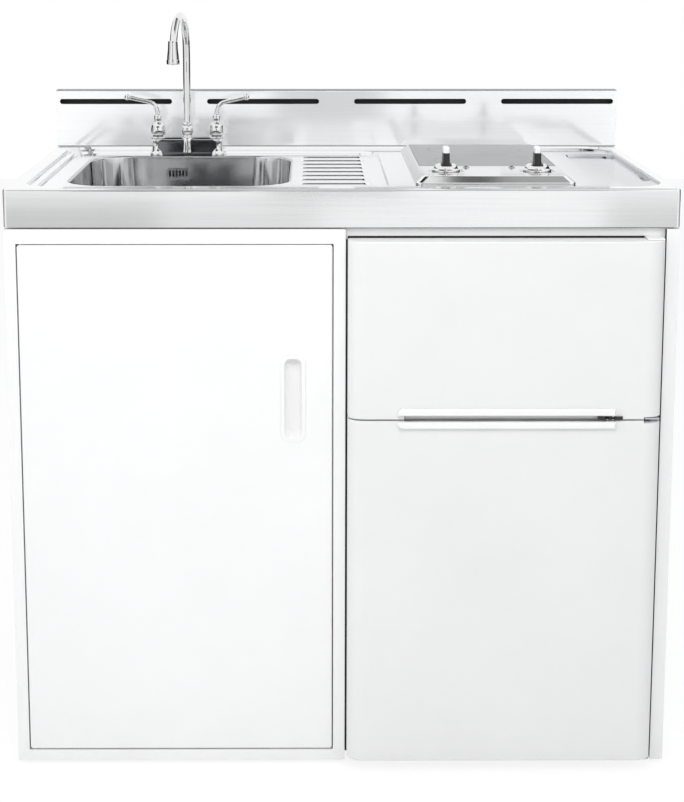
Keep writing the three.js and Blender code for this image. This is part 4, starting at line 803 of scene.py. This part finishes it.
def vent_channel(low, high):
    """A folded channel behind the vents, with a near-black sheet inside it as painted shade."""
    channel = block("vent_channel", (low.x + 0.002, low.y + 0.0016, 0.9600),
                    (high.x - 0.002, low.y + 0.0150, 0.9820))
    carve(channel, block("channel_inside", (low.x + 0.003, low.y, 0.9610),
                         (high.x - 0.003, low.y + 0.0140, 0.9810)))
    soften(channel, 0.0003, 2, 50)
    dress(shade(channel), BODY, "worktop_steel", painted_sheen_splash)
    # painted shade: a near-black sheet inside the channel
    shade_sheet = block("vent_shade_sheet", (low.x + 0.0031, low.y + 0.0125, 0.9611),
                   (high.x - 0.0031, low.y + 0.0139, 0.9809))
    soften(shade_sheet, 0.0003)
    dress(shade(shade_sheet), BODY, "worktop_steel", print_and_shade_black)


# ------------------------------------------------------------------ drain
def drain():
    cup = turned("drain_cup_turned", [
        (0.0405, -0.008), (0.0425, 0.0012), (0.0455, 0.0032), (0.0470, 0.0034), (0.0560, 0.0016),
        (0.0570, 0.0010), (0.0570, 0.0003), (0.0451, 0.0003), (0.0448, -0.044), (0.0390, -0.052),
        (0.0190, -0.052), (0.0190, -0.060), (0.0166, -0.060), (0.0168, -0.050), (0.0400, -0.0480),
        (0.0404, -0.009),
    ], (bowl_middle.x, bowl_middle.y, bowl_low.z), 64)
    dress(shade(cup, 50), BODY, "chrome", drain_chrome, "drain_cup")
    basket = formed("strainer_basket", smooth=50)
    dress(basket, "strainer", "chrome", drain_chrome, "strainer_basket")
    grille = formed("overflow_grille", 0.0003, 2, 50)
    dress(grille, BODY, "chrome", drain_chrome, "overflow_grille")
    for node in ("drain_tailpiece", "waste_trap"):
        dress(formed(node), BODY, "waste_plastic", waste_plastic, node)


# ------------------------------------------------------------------ tap
def tap_column(x):
    """One foot of the tap: a flange, a waist and a collar under the lever's hub."""
    return turned("column", [
        (0.0150, 0.0003), (0.0153, 0.0012), (0.0152, 0.0028), (0.0142, 0.0044), (0.0128, 0.0062),
        (0.0119, 0.0085), (0.0111, 0.0120), (0.0107, 0.0150), (0.0106, 0.0200), (0.0108, 0.0240),
        (0.0116, 0.0262), (0.0132, 0.0280), (0.0137, 0.0296), (0.0135, 0.0310), (0.0124, 0.0322),
        (0.0104, 0.0334), (0.0085, 0.0340),
    ], tap_at + Vector((x, 0, 0)), 40)


def tap_body():
    x, y, z = tap_at
    low = Vector((x - tap_half, y - 0.011, z + 0.0003))
    high = Vector((x + tap_half, y + 0.011, z + 0.031))
    bridge = block("bridge", low, high)
    bevel_edges(bridge, every(along(0), around(2, high.z)), 0.007, 8)
    plinth_top = z + 0.0055
    plinth = block("plinth", (low.x, low.y - 0.002, low.z), (high.x, high.y + 0.002, plinth_top))
    bevel_edges(plinth, every(along(0), around(2, plinth_top)), 0.0022, 5)
    boss = turned("boss", [
        (0.0128, 0.0055), (0.0124, 0.012), (0.0122, 0.026), (0.0118, 0.0295), (0.0108, 0.031),
    ], tap_at, 40)
    feet = [tap_at + Vector((side * tap_half, 0, 0)) for side in (-1, 1)]
    shanks = [turned("shank", [(0.009, -0.042), (0.009, 0.001)], at, 24) for at in feet]
    nuts = [turned("nut", [(0.015, -0.0098), (0.015, -0.0018)], at, 6) for at in feet]
    columns = [tap_column(side * tap_half) for side in (-1, 1)]
    # the bridge is dressed in the dark chrome: painted shade
    dress(shade(carve(bridge, plinth, kind="UNION"), 34), BODY, "chrome", shade_painted_chrome)
    bridge.name = "tap_bridge"
    piece = joined("tap_body_cast", boss, *columns, *shanks, *nuts)
    dress(shade(piece, 34), BODY, "chrome", chrome, "tap_body")
    nut = turned("spout_nut_turned", [
        (0.0080, 0.0313), (0.0096, 0.0316), (0.0100, 0.0326), (0.0088, 0.0345), (0.0094, 0.0368),
        (0.0110, 0.0392), (0.0117, 0.0420), (0.0116, 0.0450), (0.0106, 0.0480), (0.0090, 0.0500),
        (0.0082, 0.0512), (0.0092, 0.0526), (0.0094, 0.0540), (0.0084, 0.0556), (0.0072, 0.0566),
        (0.0062, 0.0570),
    ], tap_at, 40)
    dress(shade(nut, 50), BODY, "chrome", chrome, "spout_nut")


def tap_spout():
    x, y, z = tap_at
    reach, radius, heading = 0.142, 0.0065, 5
    path = [  # (from front to back, height) above the deck
        (0, 0.018), (0, 0.06), (0, 0.14), (0, 0.175), (-0.006, 0.2060), (-0.024, 0.2296),
        (-0.052, 0.2406), (-0.084, 0.2391), (-0.114, 0.2265), (-0.134, 0.204), (-0.1415, 0.186),
        (-0.142, 0.177)]
    pipe = bar("spout_bent", [(x, y + a, z + b) for a, b in path], [radius] * len(path), 24)
    nozzle = turned("aerator_turned", [
        (0.0070, 0.0040), (0.0072, 0.0036), (0.0080, 0.0034), (0.0082, 0.0000), (0.0103, 0.0000),
        (0.0109, 0.0010), (0.0110, 0.0065), (0.0104, 0.0076), (0.0100, 0.0086), (0.0098, 0.0140),
        (0.0090, 0.0200), (0.0083, 0.0270), (0.0081, 0.0340), (0.0078, 0.0375), (0.0070, 0.0388),
        (0.0060, 0.0390),
    ], (x, y - reach, z + 0.165), 40)
    for piece in (pipe, nozzle):
        spin_about(piece, heading, tap_at)
    dress(shade(pipe, 50), "spout", "chrome", chrome, "spout")
    dress(shade(nozzle, 40), "spout", "chrome", chrome, "aerator")


def tap_lever(side, node, tint):
    """A hub with a lever that sweeps outwards, side -1 to the left and 1 to the right."""
    at = tap_at + Vector((side * tap_half, 0, 0.0343))
    hub = turned("hub", [
        (0.0098, 0.0000), (0.0108, 0.0006), (0.0128, 0.0022), (0.0137, 0.0050), (0.0140, 0.0090),
        (0.0137, 0.0130), (0.0128, 0.0170), (0.0108, 0.0200), (0.0088, 0.0218), (0.0072, 0.0234),
        (0.0066, 0.0250), (0.0072, 0.0270), (0.0077, 0.0300), (0.0072, 0.0330), (0.0058, 0.0355),
        (0.0036, 0.0368),
    ], at, 40)
    path = [(0.000, 0.032), (0.0015, 0.044), (0.007, 0.0535), (0.018, 0.0585), (0.032, 0.0615),
            (0.046, 0.0648), (0.0545, 0.0660)]
    radii = [0.0046, 0.0040, 0.0038, 0.0036, 0.0034, 0.0038, 0.0044]
    arm = bar("arm", [(at.x + side * a, at.y, at.z + b) for a, b in path], radii, 16)
    tip = turned("tip", [
        (0.0010, -0.0052), (0.0034, -0.0044), (0.0051, -0.0020), (0.0054, 0.0000),
        (0.0051, 0.0022), (0.0034, 0.0044), (0.0010, 0.0052),
    ], at + Vector((side * 0.052, 0, 0.066)), 24)
    dress(shade(joined(node + "_cast", hub, arm, tip), 40), node, "chrome", chrome, node)
    index = turned(node + "_index", [(0.0028, 0.0366), (0.0028, 0.0371), (0.0018, 0.0376)], at, 20)
    dress(shade(index, 40), node, "chrome", tint)


# ------------------------------------------------------------------ hob
def hob():
    low, high = hob_low, hob_high
    rise, bevel, wall, past = 0.0027, 0.012, 0.014, 0.01
    piece = tub("hob_frame_pressed", low, (high.x, high.y, low.z + rise), 0.010, steps=6)
    edit_faces(piece, upwards)
    bpy.ops.mesh.extrude_region_move(TRANSFORM_OT_translate={"value": (0, 0, high.z - low.z - rise)})
    inwards = [(side - 2 * bevel) / side for side in (high - low).xy]
    bpy.ops.transform.resize(value=(*inwards, 1))
    close_edit()
    bevel_edges(piece, around(2, high.z), 0.0022, 4)
    bevel_edges(piece, around(2, low.z + rise), 0.0015, 3)
    under = (low.x + wall, low.y + wall, low.z - past)
    hollow = block("hollow", under, (high.x - wall, high.y - wall, high.z - 0.0055))
    strip = block("strip_hollow", under, (high.x - wall, glass_low.y - 0.004, high.z - 0.0015))
    room, ledge = 0.0004, 0.008
    seat = tub("seat", (glass_low.x - room, glass_low.y - room, glass_low.z - 0.0003),
               (glass_high.x + room, glass_high.y + room, high.z + past), 0.0034, steps=4)
    window = block("window", (glass_low.x + ledge, glass_low.y + ledge, low.z - past),
                   (glass_high.x - ledge, glass_high.y - ledge, high.z + past))
    carve(piece, hollow, strip, seat, window)
    for x, y, _ in KNOBS:
        carve(piece, turned("shaft_hole", [(0.004, 0.88), (0.004, 0.92)], (x, y, 0), 24))
    tidy_mesh(piece, 0.2)
    dress(shade(piece), BODY, "worktop_steel", steel_hob, "hob_frame")
    glass = tub("hob_glass_plate", glass_low, glass_high, 0.003, steps=4)
    bevel_edges(glass, around(2, glass_high.z), 0.0008, 3)
    elements = [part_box(node) for node in ("front_element", "rear_element")]
    zones = [((a + b) / 2).xy for a, b in elements]
    dress(shade(glass), BODY, "ceramic_glass", hob_glass_finish(zones, 0.078), "hob_glass")
    for node, material_slot, material in (
        ("hob_pan", "black_enamel", black_enamel), ("front_element", "heater", heater),
        ("rear_element", "heater", heater), ("left_switch", "white_plastic", white_plastic),
        ("right_switch", "white_plastic", white_plastic),
    ):
        dress(formed(node), BODY, material_slot, material, node)


def knob(x, y, side):
    """A black blade with a white cap that stands on a bright stepped skirt."""
    z = hob_high.z
    at, body = (x, y, z), side + "_knob"
    skirt = turned(side + "_knob_skirt", [
        (0.0222, 0.0003), (0.0225, 0.0008), (0.0225, 0.0018), (0.0219, 0.0026), (0.0196, 0.0036),
        (0.0190, 0.0046), (0.0186, 0.0062), (0.0168, 0.0088), (0.0140, 0.0106), (0.0112, 0.0113),
        (0.0080, 0.0116),
    ], at, 56)
    dress(shade(skirt, 40), body, "chrome", chrome)
    blade_top = z + 0.0285
    blade = block(body + "_moulded", (x - 0.0054, y - 0.0165, z + 0.0050),
                  (x + 0.0054, y + 0.0165, blade_top))
    taper(blade, 2, blade_top, (0.94, 0.80, 1))
    bevel_edges(blade, along(2), 0.0042, 6)
    foot = turned("foot", [
        (0.0172, 0.0052), (0.0172, 0.0093), (0.0150, 0.0104), (0.0124, 0.0118), (0.0060, 0.0125)], at, 48)
    foot_cut = tub("foot_cut", (x - 0.0080, y - 0.02, z), (x + 0.0080, y + 0.02, z + 0.02), 0.005, 4)
    carve(foot, foot_cut, kind="INTERSECT")
    piece = joined(body + "_moulded", blade, foot)
    dress(shade(piece, 40), body, "black_plastic", black_plastic, body)
    cap_top = z + 0.0375
    cap = tub(side + "_knob_cap", (x - 0.0052, y - 0.0134, z + 0.0283),
              (x + 0.0052, y + 0.0134, cap_top), 0.0042, 6)
    bevel_edges(cap, around(2, cap_top), 0.0030, 4)
    dress(shade(cap, 40), body, "black_plastic", white_cap)
    pointer = block(side + "_knob_pointer", (x - 0.0007, y - 0.0215, z + 0.0022),
                    (x + 0.0007, y - 0.0170, z + 0.0058))
    soften(pointer, 0.0003, 2, 40)
    dress(shade(pointer), body, "black_plastic", white_cap)


def strip_marks(x, y, side):
    """Printed marks round a knob: dots that grow clockwise, and a bar in front that means off."""
    z = hob_high.z
    low, high, reach = 0.00002, 0.0002, 0.0262
    marks = []
    for i in range(1, 9):
        angle = math.radians(-90 - i * 36)
        radius = 0.0006 + 0.00012 * i
        at = (x + reach * math.cos(angle), y + reach * math.sin(angle), z)
        marks.append(turned("dot", [(radius, low), (radius, high)], at, 14))
    marks.append(block("off_bar", (x - 0.0006, y - 0.0288, z + low), (x + 0.0006, y - 0.0244, z + high)))
    piece = joined(side + "_power_marks", *marks)
    dress(shade(piece), BODY, "black_plastic", print_and_shade_black)


def lamps():
    for node in ("left_lamp", "right_lamp"):
        low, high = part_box(node)
        middle = (low + high) / 2
        at = (middle.x, middle.y, hob_high.z)
        lens = turned(node + "_lens", [
            (0.0030, -0.0085), (0.0030, 0.0003), (0.0033, 0.0005), (0.0033, 0.0013), (0.0028, 0.0021),
            (0.0018, 0.0027), (0.0007, 0.0030),
        ], at, 32)
        dress(shade(lens, 50), BODY, "lamp", lamp_red, node)
        ring = turned(node + "_ring", [
            (0.0032, 0.0002), (0.0048, 0.0002), (0.0052, 0.0005), (0.0052, 0.0010), (0.0046, 0.0016),
            (0.0038, 0.0017), (0.0034, 0.0011), (0.0033, 0.0003),
        ], at, 32)
        dress(shade(ring, 50), BODY, "chrome", chrome)


# ------------------------------------------------------------------ cabinet
def lower_top(piece, level, drop):
    """Lowers a panel's top edge a little, so a shadow line shows under the apron."""
    mesh = edit(piece, "VERT")
    for vertex in mesh.verts:
        vertex.select_set(vertex.co.z > level - 0.002)
    bmesh.update_edit_mesh(piece.data)
    bpy.ops.transform.translate(value=(0, 0, -drop))
    close_edit()


def cabinet():
    for node, width in (
        ("front_frame", 0.0007), ("left_side_panel", 0.0008), ("partition_panel", 0.0006),
        ("right_side_panel", 0.0008), ("fridge_header", 0.0005), ("storage_base", 0.0006),
        ("storage_back", 0.0), ("door_liner", 0.0005),
    ):
        body = "storage_door" if node == "door_liner" else BODY
        piece = formed(node, width, merge=node not in ("partition_panel", "right_side_panel"))
        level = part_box(node)[1].z
        if level > apron_foot - 0.001:
            lower_top(piece, level, 0.0022)
        dress(piece, body, "white_enamel", white_enamel, node)
    for node in ("upper_hinge_pin", "lower_hinge_pin", "front_left_foot", "front_right_foot",
                 "rear_left_foot", "rear_right_foot"):
        dress(formed(node), BODY, "zinc", zinc, node)
    dress(formed("door_catch", 0.0006), BODY, "white_plastic", white_plastic, "door_catch")


def storage_door():
    low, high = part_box("door_skin")
    roll, wall = 0.003, 0.0012
    piece = slot("door_skin_folded", low, high, 0.0042, 4)
    bevel_edges(piece, around(1, low.y), roll, 5)
    carve(piece, block("hollow", (low.x + wall, low.y + roll, low.z + wall),
                       (high.x - wall, high.y + 0.01, high.z - wall)))
    pull_low, pull_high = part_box("door_pull")
    lip = 0.0016 - 0.0003
    carve(piece, slot("pull_hole", (pull_low.x + lip, low.y - 0.01, pull_low.z + lip),
                      (pull_high.x - lip, low.y + 0.006, pull_high.z - lip), 0.012, 8))
    pin_at, half = (-0.4705, -0.279, 0), 0.002
    for z in (low.z, high.z):
        carve(piece, turned("pin_hole", [(0.0028, z - half), (0.0028, z + half)], pin_at, 24))
    tidy_mesh(piece, 0.2)
    dress(shade(piece), "storage_door", "white_enamel", white_enamel, "door_skin")
    door_pull(low.y, pull_low, pull_high)


def door_pull(skin, low, high):
    """The recessed pull: a rim on the door's skin round a cup behind it."""
    cup = slot("door_pull_moulded", low, high, 0.0133)
    bevel_edges(cup, around(1, low.y), 0.0006, 2)
    past, rim_width, inside = 0.01, 0.0016, 0.0031
    body_cut = block("body_cut", (low.x - past, skin - 0.0003, low.z - past),
                     (high.x + past, high.y + past, high.z + past))
    keep = slot("keep", (low.x + rim_width, skin - past, low.z + rim_width),
                (high.x - rim_width, high.y + 2 * past, high.z - rim_width), 0.0119)
    carve(body_cut, keep)
    carve(cup, body_cut)
    floor = high.y - 0.0015
    hollow = slot("hollow", (low.x + inside, skin - past, low.z + inside),
                  (high.x - inside, floor, high.z - inside), 0.0105)
    wide, tall = high.x - low.x - 2 * inside, high.z - low.z - 2 * inside
    taper(hollow, 1, floor, ((wide - 0.011) / wide, 1, (tall - 0.014) / tall))
    bevel_edges(hollow, around(1, floor), 0.003, 4)
    carve(cup, hollow)
    dress(shade(cup), "storage_door", "white_plastic", white_plastic, "door_pull")


# ------------------------------------------------------------------ refrigerator
def door_form(name, low, high, inset):
    """The outside of a door: two broad front corners and soft top and bottom edges."""
    across, deep = 0.026 - inset, 0.018 - inset  # the front corners are wider than deep
    stretch = across / deep
    a = low + Vector((inset, inset, inset))
    b = high - Vector((inset, 0 if inset == 0 else -0.01, inset))
    face = b.y - (b.y - a.y) * stretch
    piece = block(name, (a.x, face, a.z), b)
    bevel_edges(piece, every(along(2), around(1, face)), across, 14)
    edit(piece, everything=True)
    bpy.ops.transform.resize(value=(1, 1 / stretch, 1), center_override=(0, b.y, 0))
    close_edit()
    if inset == 0:
        before_back = b.y - 1e-4
        bevel_edges(piece, every(around(2, a.z, b.z), lambda m, w: m.y < before_back), 0.002, 3)
    return piece


def fridge_door(node, hand):
    """A folded door with a finger pocket and a hinge notch at the seam, which it is above (1) or below."""
    low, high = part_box(node)
    wall, past = 0.0012, 0.02
    piece = door_form(node + "_shell", low, high, 0)
    hollow = door_form("hollow", low, high, wall)
    seam = low.z if hand > 0 else high.z
    pocket = (low.x + 0.083, low.x + 0.382, low.y + 0.019, (0.007 if hand > 0 else 0) + 0.010)
    notch_left, notch_tall = 0.4594 - 0.015, 0.0036

    def room(name, left, right, back, tall):
        near, far = sorted((seam - hand * 0.01, seam + hand * tall))
        return block(name, (left, low.y - past, near), (right, back, far))

    def notch(name, wall):
        return room(name, notch_left - wall, high.x + past, high.y + 0.01, notch_tall + wall)

    walls = [pocket[0] - wall] + [edge + wall for edge in pocket[1:]]
    carve(hollow, room("pocket_wall", *walls), notch("notch_wall", wall))
    carve(piece, hollow, room("pocket", *pocket), notch("notch", 0))
    tidy_mesh(piece, 0.2)
    dress(shade(piece, 35), node, "door_white", door_white, node)


def grip(node, body, hand):
    """A grip bar along the seam whose outer left corner is drawn round towards the seam."""
    low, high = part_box(node)
    piece = block(node + "_moulded", low, high)
    outer = high.z if hand > 0 else low.z
    bevel_edges(piece, every(along(1), around(0, low.x), around(2, outer)), 0.0078, 10)
    bevel_edges(piece, every(along(1), around(0, high.x)), 0.0016, 3)
    bevel_edges(piece, around(1, low.y), 0.0022, 4)
    dress(shade(piece), body, "white_plastic", white_plastic, node)


def seam_latch():
    """A small black block with two pins at the right end of the recess between the grips."""
    low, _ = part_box("freezer_door")
    x0, x1, pocket_end = low.x + 0.3690, low.x + 0.4040, low.x + 0.3815
    z0, z1 = low.z + 0.0004, low.z + 0.0066
    tail_top = z1 - 0.0012
    face = low.y - 0.0024
    piece = block("seam_latch", (x0, face, z0), (pocket_end, low.y + 0.0120, z1))
    carve(piece, block("tail", (x0 + 0.002, face, z0), (x1, low.y - 0.0002, tail_top)), kind="UNION")
    soften(piece, 0.0006, 2, 40)
    dress(shade(piece), "freezer_door", "black_plastic", black_plastic)
    recess = block("finger_recess", (low.x + 0.0842, low.y + 0.0060, z0),
                   (x0 - 0.0004, low.y + 0.0072, low.z + 0.0160))
    soften(recess, 0.0004, 2, 40)
    dress(shade(recess), "freezer_door", "white_plastic", white_plastic)
    pins = []
    for x in (x0 + 0.0120, x0 + 0.0205):
        pin = turned("pin", [(0.0026, 0.0), (0.0026, 0.0005), (0.0016, 0.0009)], (x, 0, 0), 16)
        spin_about(pin, 90, (x, 0, 0), "X")
        pins.append(shifted(pin, (0, face, (z0 + tail_top) / 2)))
    piece = joined("seam_latch_pins", *pins)
    dress(shade(piece), "freezer_door", "white_plastic", white_cap)


def gap_shade_strips():
    """Black strips in the gaps between the refrigerator's doors and its bay: painted shade for the shadow
    in those gaps.
    """
    header_low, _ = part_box("fridge_header")
    door_low, door_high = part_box("freezer_door")
    foot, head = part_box("fridge_door")[0].z, header_low.z
    frame_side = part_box("front_frame")[1].x
    panel_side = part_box("right_side_panel")[0].x
    near, far = door_high.y + 0.0005, door_high.y + 0.0100
    shade_strips = [
        block("bay_gap_shade_top", (door_low.x, header_low.y - 0.0016, head),
              (door_high.x - 0.012, header_low.y - 0.0001, head + 0.0050)),
        block("bay_gap_shade_left", (frame_side + 0.0003, near, foot), (frame_side + 0.0046, far, head)),
        block("bay_gap_shade_right", (panel_side - 0.0044, near, foot), (panel_side - 0.0003, far, head)),
    ]
    for piece in shade_strips:
        soften(piece, 0.0004, 2, 40)
        dress(shade(piece), BODY, "gasket_rubber", print_and_shade_black)


def fridge_trim():
    for door, hand in (("freezer", 1), ("fridge", -1)):
        body, liner, gasket = door + "_door", door + "_door_liner", door + "_gasket"
        dress(formed(liner, 0.0015, 3), body, "white_plastic", liner_plastic, liner)
        dress(formed(gasket, 0.0015, 2), body, "gasket_rubber", gasket_rubber, gasket)
        grip(door + "_grip", body, hand)
    for node, width, segments, merge, material_slot, material in (
        ("fridge_case", 0.0008, 2, True, "door_white", door_white),
        ("fridge_liner", 0.004, 3, False, "white_plastic", liner_plastic),
        ("fridge_shelf", 0.0010, 2, True, "clear_glass", clear_glass),
        ("crisper", 0.0008, 2, True, "clear_plastic", clear_plastic),
        ("compressor", 0.0, 2, True, "black_enamel", black_enamel),
        ("condenser", 0.0, 2, True, "black_enamel", black_enamel),
        ("top_hinge", 0.0005, 2, True, "white_enamel", white_enamel),
        ("middle_hinge", 0.0004, 2, True, "zinc", zinc),
        ("bottom_hinge", 0.0004, 2, True, "zinc", zinc),
    ):
        dress(formed(node, width, segments, merge=merge), BODY, material_slot, material, node)


# ------------------------------------------------------------------ studio
def seen_directly(tree):
    """One for what the camera sees straight on, in gloss or through glass."""
    path = tree.nodes.new("ShaderNodeLightPath")
    seen = math_node(tree, "MAXIMUM", path.outputs["Is Camera Ray"], path.outputs["Is Glossy Ray"])
    return math_node(tree, "MAXIMUM", seen, path.outputs["Is Transmission Ray"])


def surface(tree, kind, colour, strength=None):
    node = tree.nodes.new(kind)
    node.inputs["Color"].default_value = (*colour, 1)
    if strength is not None:
        node.inputs["Strength"].default_value = strength
    return node.outputs[0]


def blended(tree, output, share, first, second):
    """Sends two surfaces to the output, the second by its share."""
    mixed = tree.nodes.new("ShaderNodeMixShader")
    for socket, value in zip(mixed.inputs, (share, first, second)):
        tree.links.new(value, socket)
    tree.links.new(mixed.outputs[0], tree.nodes.new(output).inputs[0])


def softbox(name, place, target, size, power):
    data = bpy.data.lights.new(name, "AREA")
    data.size = size
    data.energy = power
    light = bpy.data.objects.new(name, data)
    bpy.context.scene.collection.objects.link(light)
    light.location = place
    aim = Vector(target) - Vector(place)
    light.rotation_euler = aim.to_track_quat("-Z", "Y").to_euler()
    light.visible_camera = False
    light.visible_glossy = False


def card(name, place, size, glow, tilt=0, turn=0):
    """A card of a chosen brightness that only metal and gloss show."""
    deselect()
    angles = (math.radians(tilt), 0, math.radians(turn))
    bpy.ops.mesh.primitive_plane_add(size=1, location=place, rotation=angles)
    piece = bpy.context.object
    piece.name = name
    piece.scale = (*size, 1)
    bpy.ops.object.transform_apply(location=True, rotation=True, scale=True)
    material = bpy.data.materials.new(name)
    material.use_nodes = True
    shader = material.node_tree.nodes["Principled BSDF"]
    shader.inputs["Base Color"].default_value = (0, 0, 0, 1)
    shader.inputs["Specular IOR Level"].default_value = 0
    shader.inputs["Emission Color"].default_value = (glow, glow, glow, 1)
    shader.inputs["Emission Strength"].default_value = 1.0
    piece.data.materials.append(material)
    piece.visible_camera = False
    piece.visible_diffuse = False
    piece.visible_shadow = False
    piece.visible_transmission = False


def studio():
    white = (1, 1, 1)
    deselect()
    bpy.ops.mesh.primitive_plane_add(size=14, location=(0, 0, 0))
    floor = bpy.context.object
    floor.name = "studio_floor"
    material = bpy.data.materials.new("studio_floor")
    material.use_nodes = True
    tree = material.node_tree
    tree.nodes.clear()
    blended(tree, "ShaderNodeOutputMaterial", math_node(tree, "MULTIPLY", seen_directly(tree), 0.80),
            surface(tree, "ShaderNodeBsdfDiffuse", (0.86, 0.86, 0.86)),
            surface(tree, "ShaderNodeEmission", white, 1.06))
    floor.data.materials.append(material)

    world = bpy.data.worlds.new("studio")
    bpy.context.scene.world = world
    world.use_nodes = True
    tree = world.node_tree
    tree.nodes.clear()
    blended(tree, "ShaderNodeOutputWorld", seen_directly(tree),
            surface(tree, "ShaderNodeBackground", (0.97, 0.985, 1), 0.62),
            surface(tree, "ShaderNodeBackground", white, 1.0))

    softbox("key_light", (-1.6, -2.6, 2.2), (0, -0.2, 0.6), 1.8, 11)
    softbox("fill_light", (2.2, -2.2, 1.6), (0, -0.2, 0.5), 1.6, 8)
    softbox("side_light", (-2.6, -1.7, 1.0), (0, -0.2, 0.6), 1.6, 12)
    softbox("high_light", (0.1, -1.8, 2.1), (0, 0.3, 0.98), 0.9, 17)
    softbox("top_light", (0.2, 0.3, 2.8), (0, 0, 0.8), 1.6, 16)
    # cards that metal and gloss show as their darker bands
    for side, hand in (("left", -1), ("right", 1)):
        card(f"card_{side}", (hand * 2.4, 0.70, 0.95), (1.4, 2.4), 0.02, 90, 90)
        card(f"card_{side}_front", (hand * 2.4, -0.70, 0.95), (1.4, 2.4), 0.62, 90, 90)
        card(f"card_behind_{side}", (hand * 2.1, 2.0, 1.3), (2.0, 1.6), 0.03, 90, -hand * 45)
    # over the unit: these show in the tap, in the edges of the pressings and in the hob's bevel
    for name, x, y, size, glow in (
        ("card_over", -0.355, 0.75, (0.49, 2.10), 0.0),
        ("card_over_drainer", 0.055, 0.65, (0.33, 2.30), 0.22),
        ("card_over_hob_left", 0.38, 0.59, (0.14, 2.42), 0.08),
        ("card_over_hob_right", 0.70, 0.59, (0.50, 2.42), 0.40),
    ):
        card(name, (x, y, 3.0), size, glow)
    # in front of the unit: the bowl's back wall, the splash and the apron show these
    for name, x, z, size, glow in (
        ("card_front_high", -0.30, 2.75, (2.6, 1.3), 0.04),
        ("card_bowl_grey", -0.75, 1.55, (0.10, 1.30), 0.30),
        ("card_bowl_dark", -0.47, 1.55, (0.46, 1.30), 0.0),
        ("card_splash", 0.02, 0.86, (0.40, 0.62), 0.05),
        ("card_apron_left", -1.10, 0.21, (1.2, 0.56), 0.60),
        ("card_apron_middle", -0.26, 0.21, (0.48, 0.56), 0.80),
        ("card_apron_right", 1.30, 0.21, (0.9, 0.56), 0.68),
    ):
        card(name, (x, -3.1, z), size, glow, 90)


# ------------------------------------------------------------------ making
worktop()
sink_bowl()
backsplash()
drain()
tap_body()
tap_spout()
tap_lever(-1, "hot_handle", index_red)
tap_lever(1, "cold_handle", index_blue)
hob()
for knob_place in KNOBS:
    knob(*knob_place)
    strip_marks(*knob_place)
lamps()
cabinet()
storage_door()
fridge_door("freezer_door", 1)
fridge_door("fridge_door", -1)
fridge_trim()
seam_latch()
gap_shade_strips()
studio()
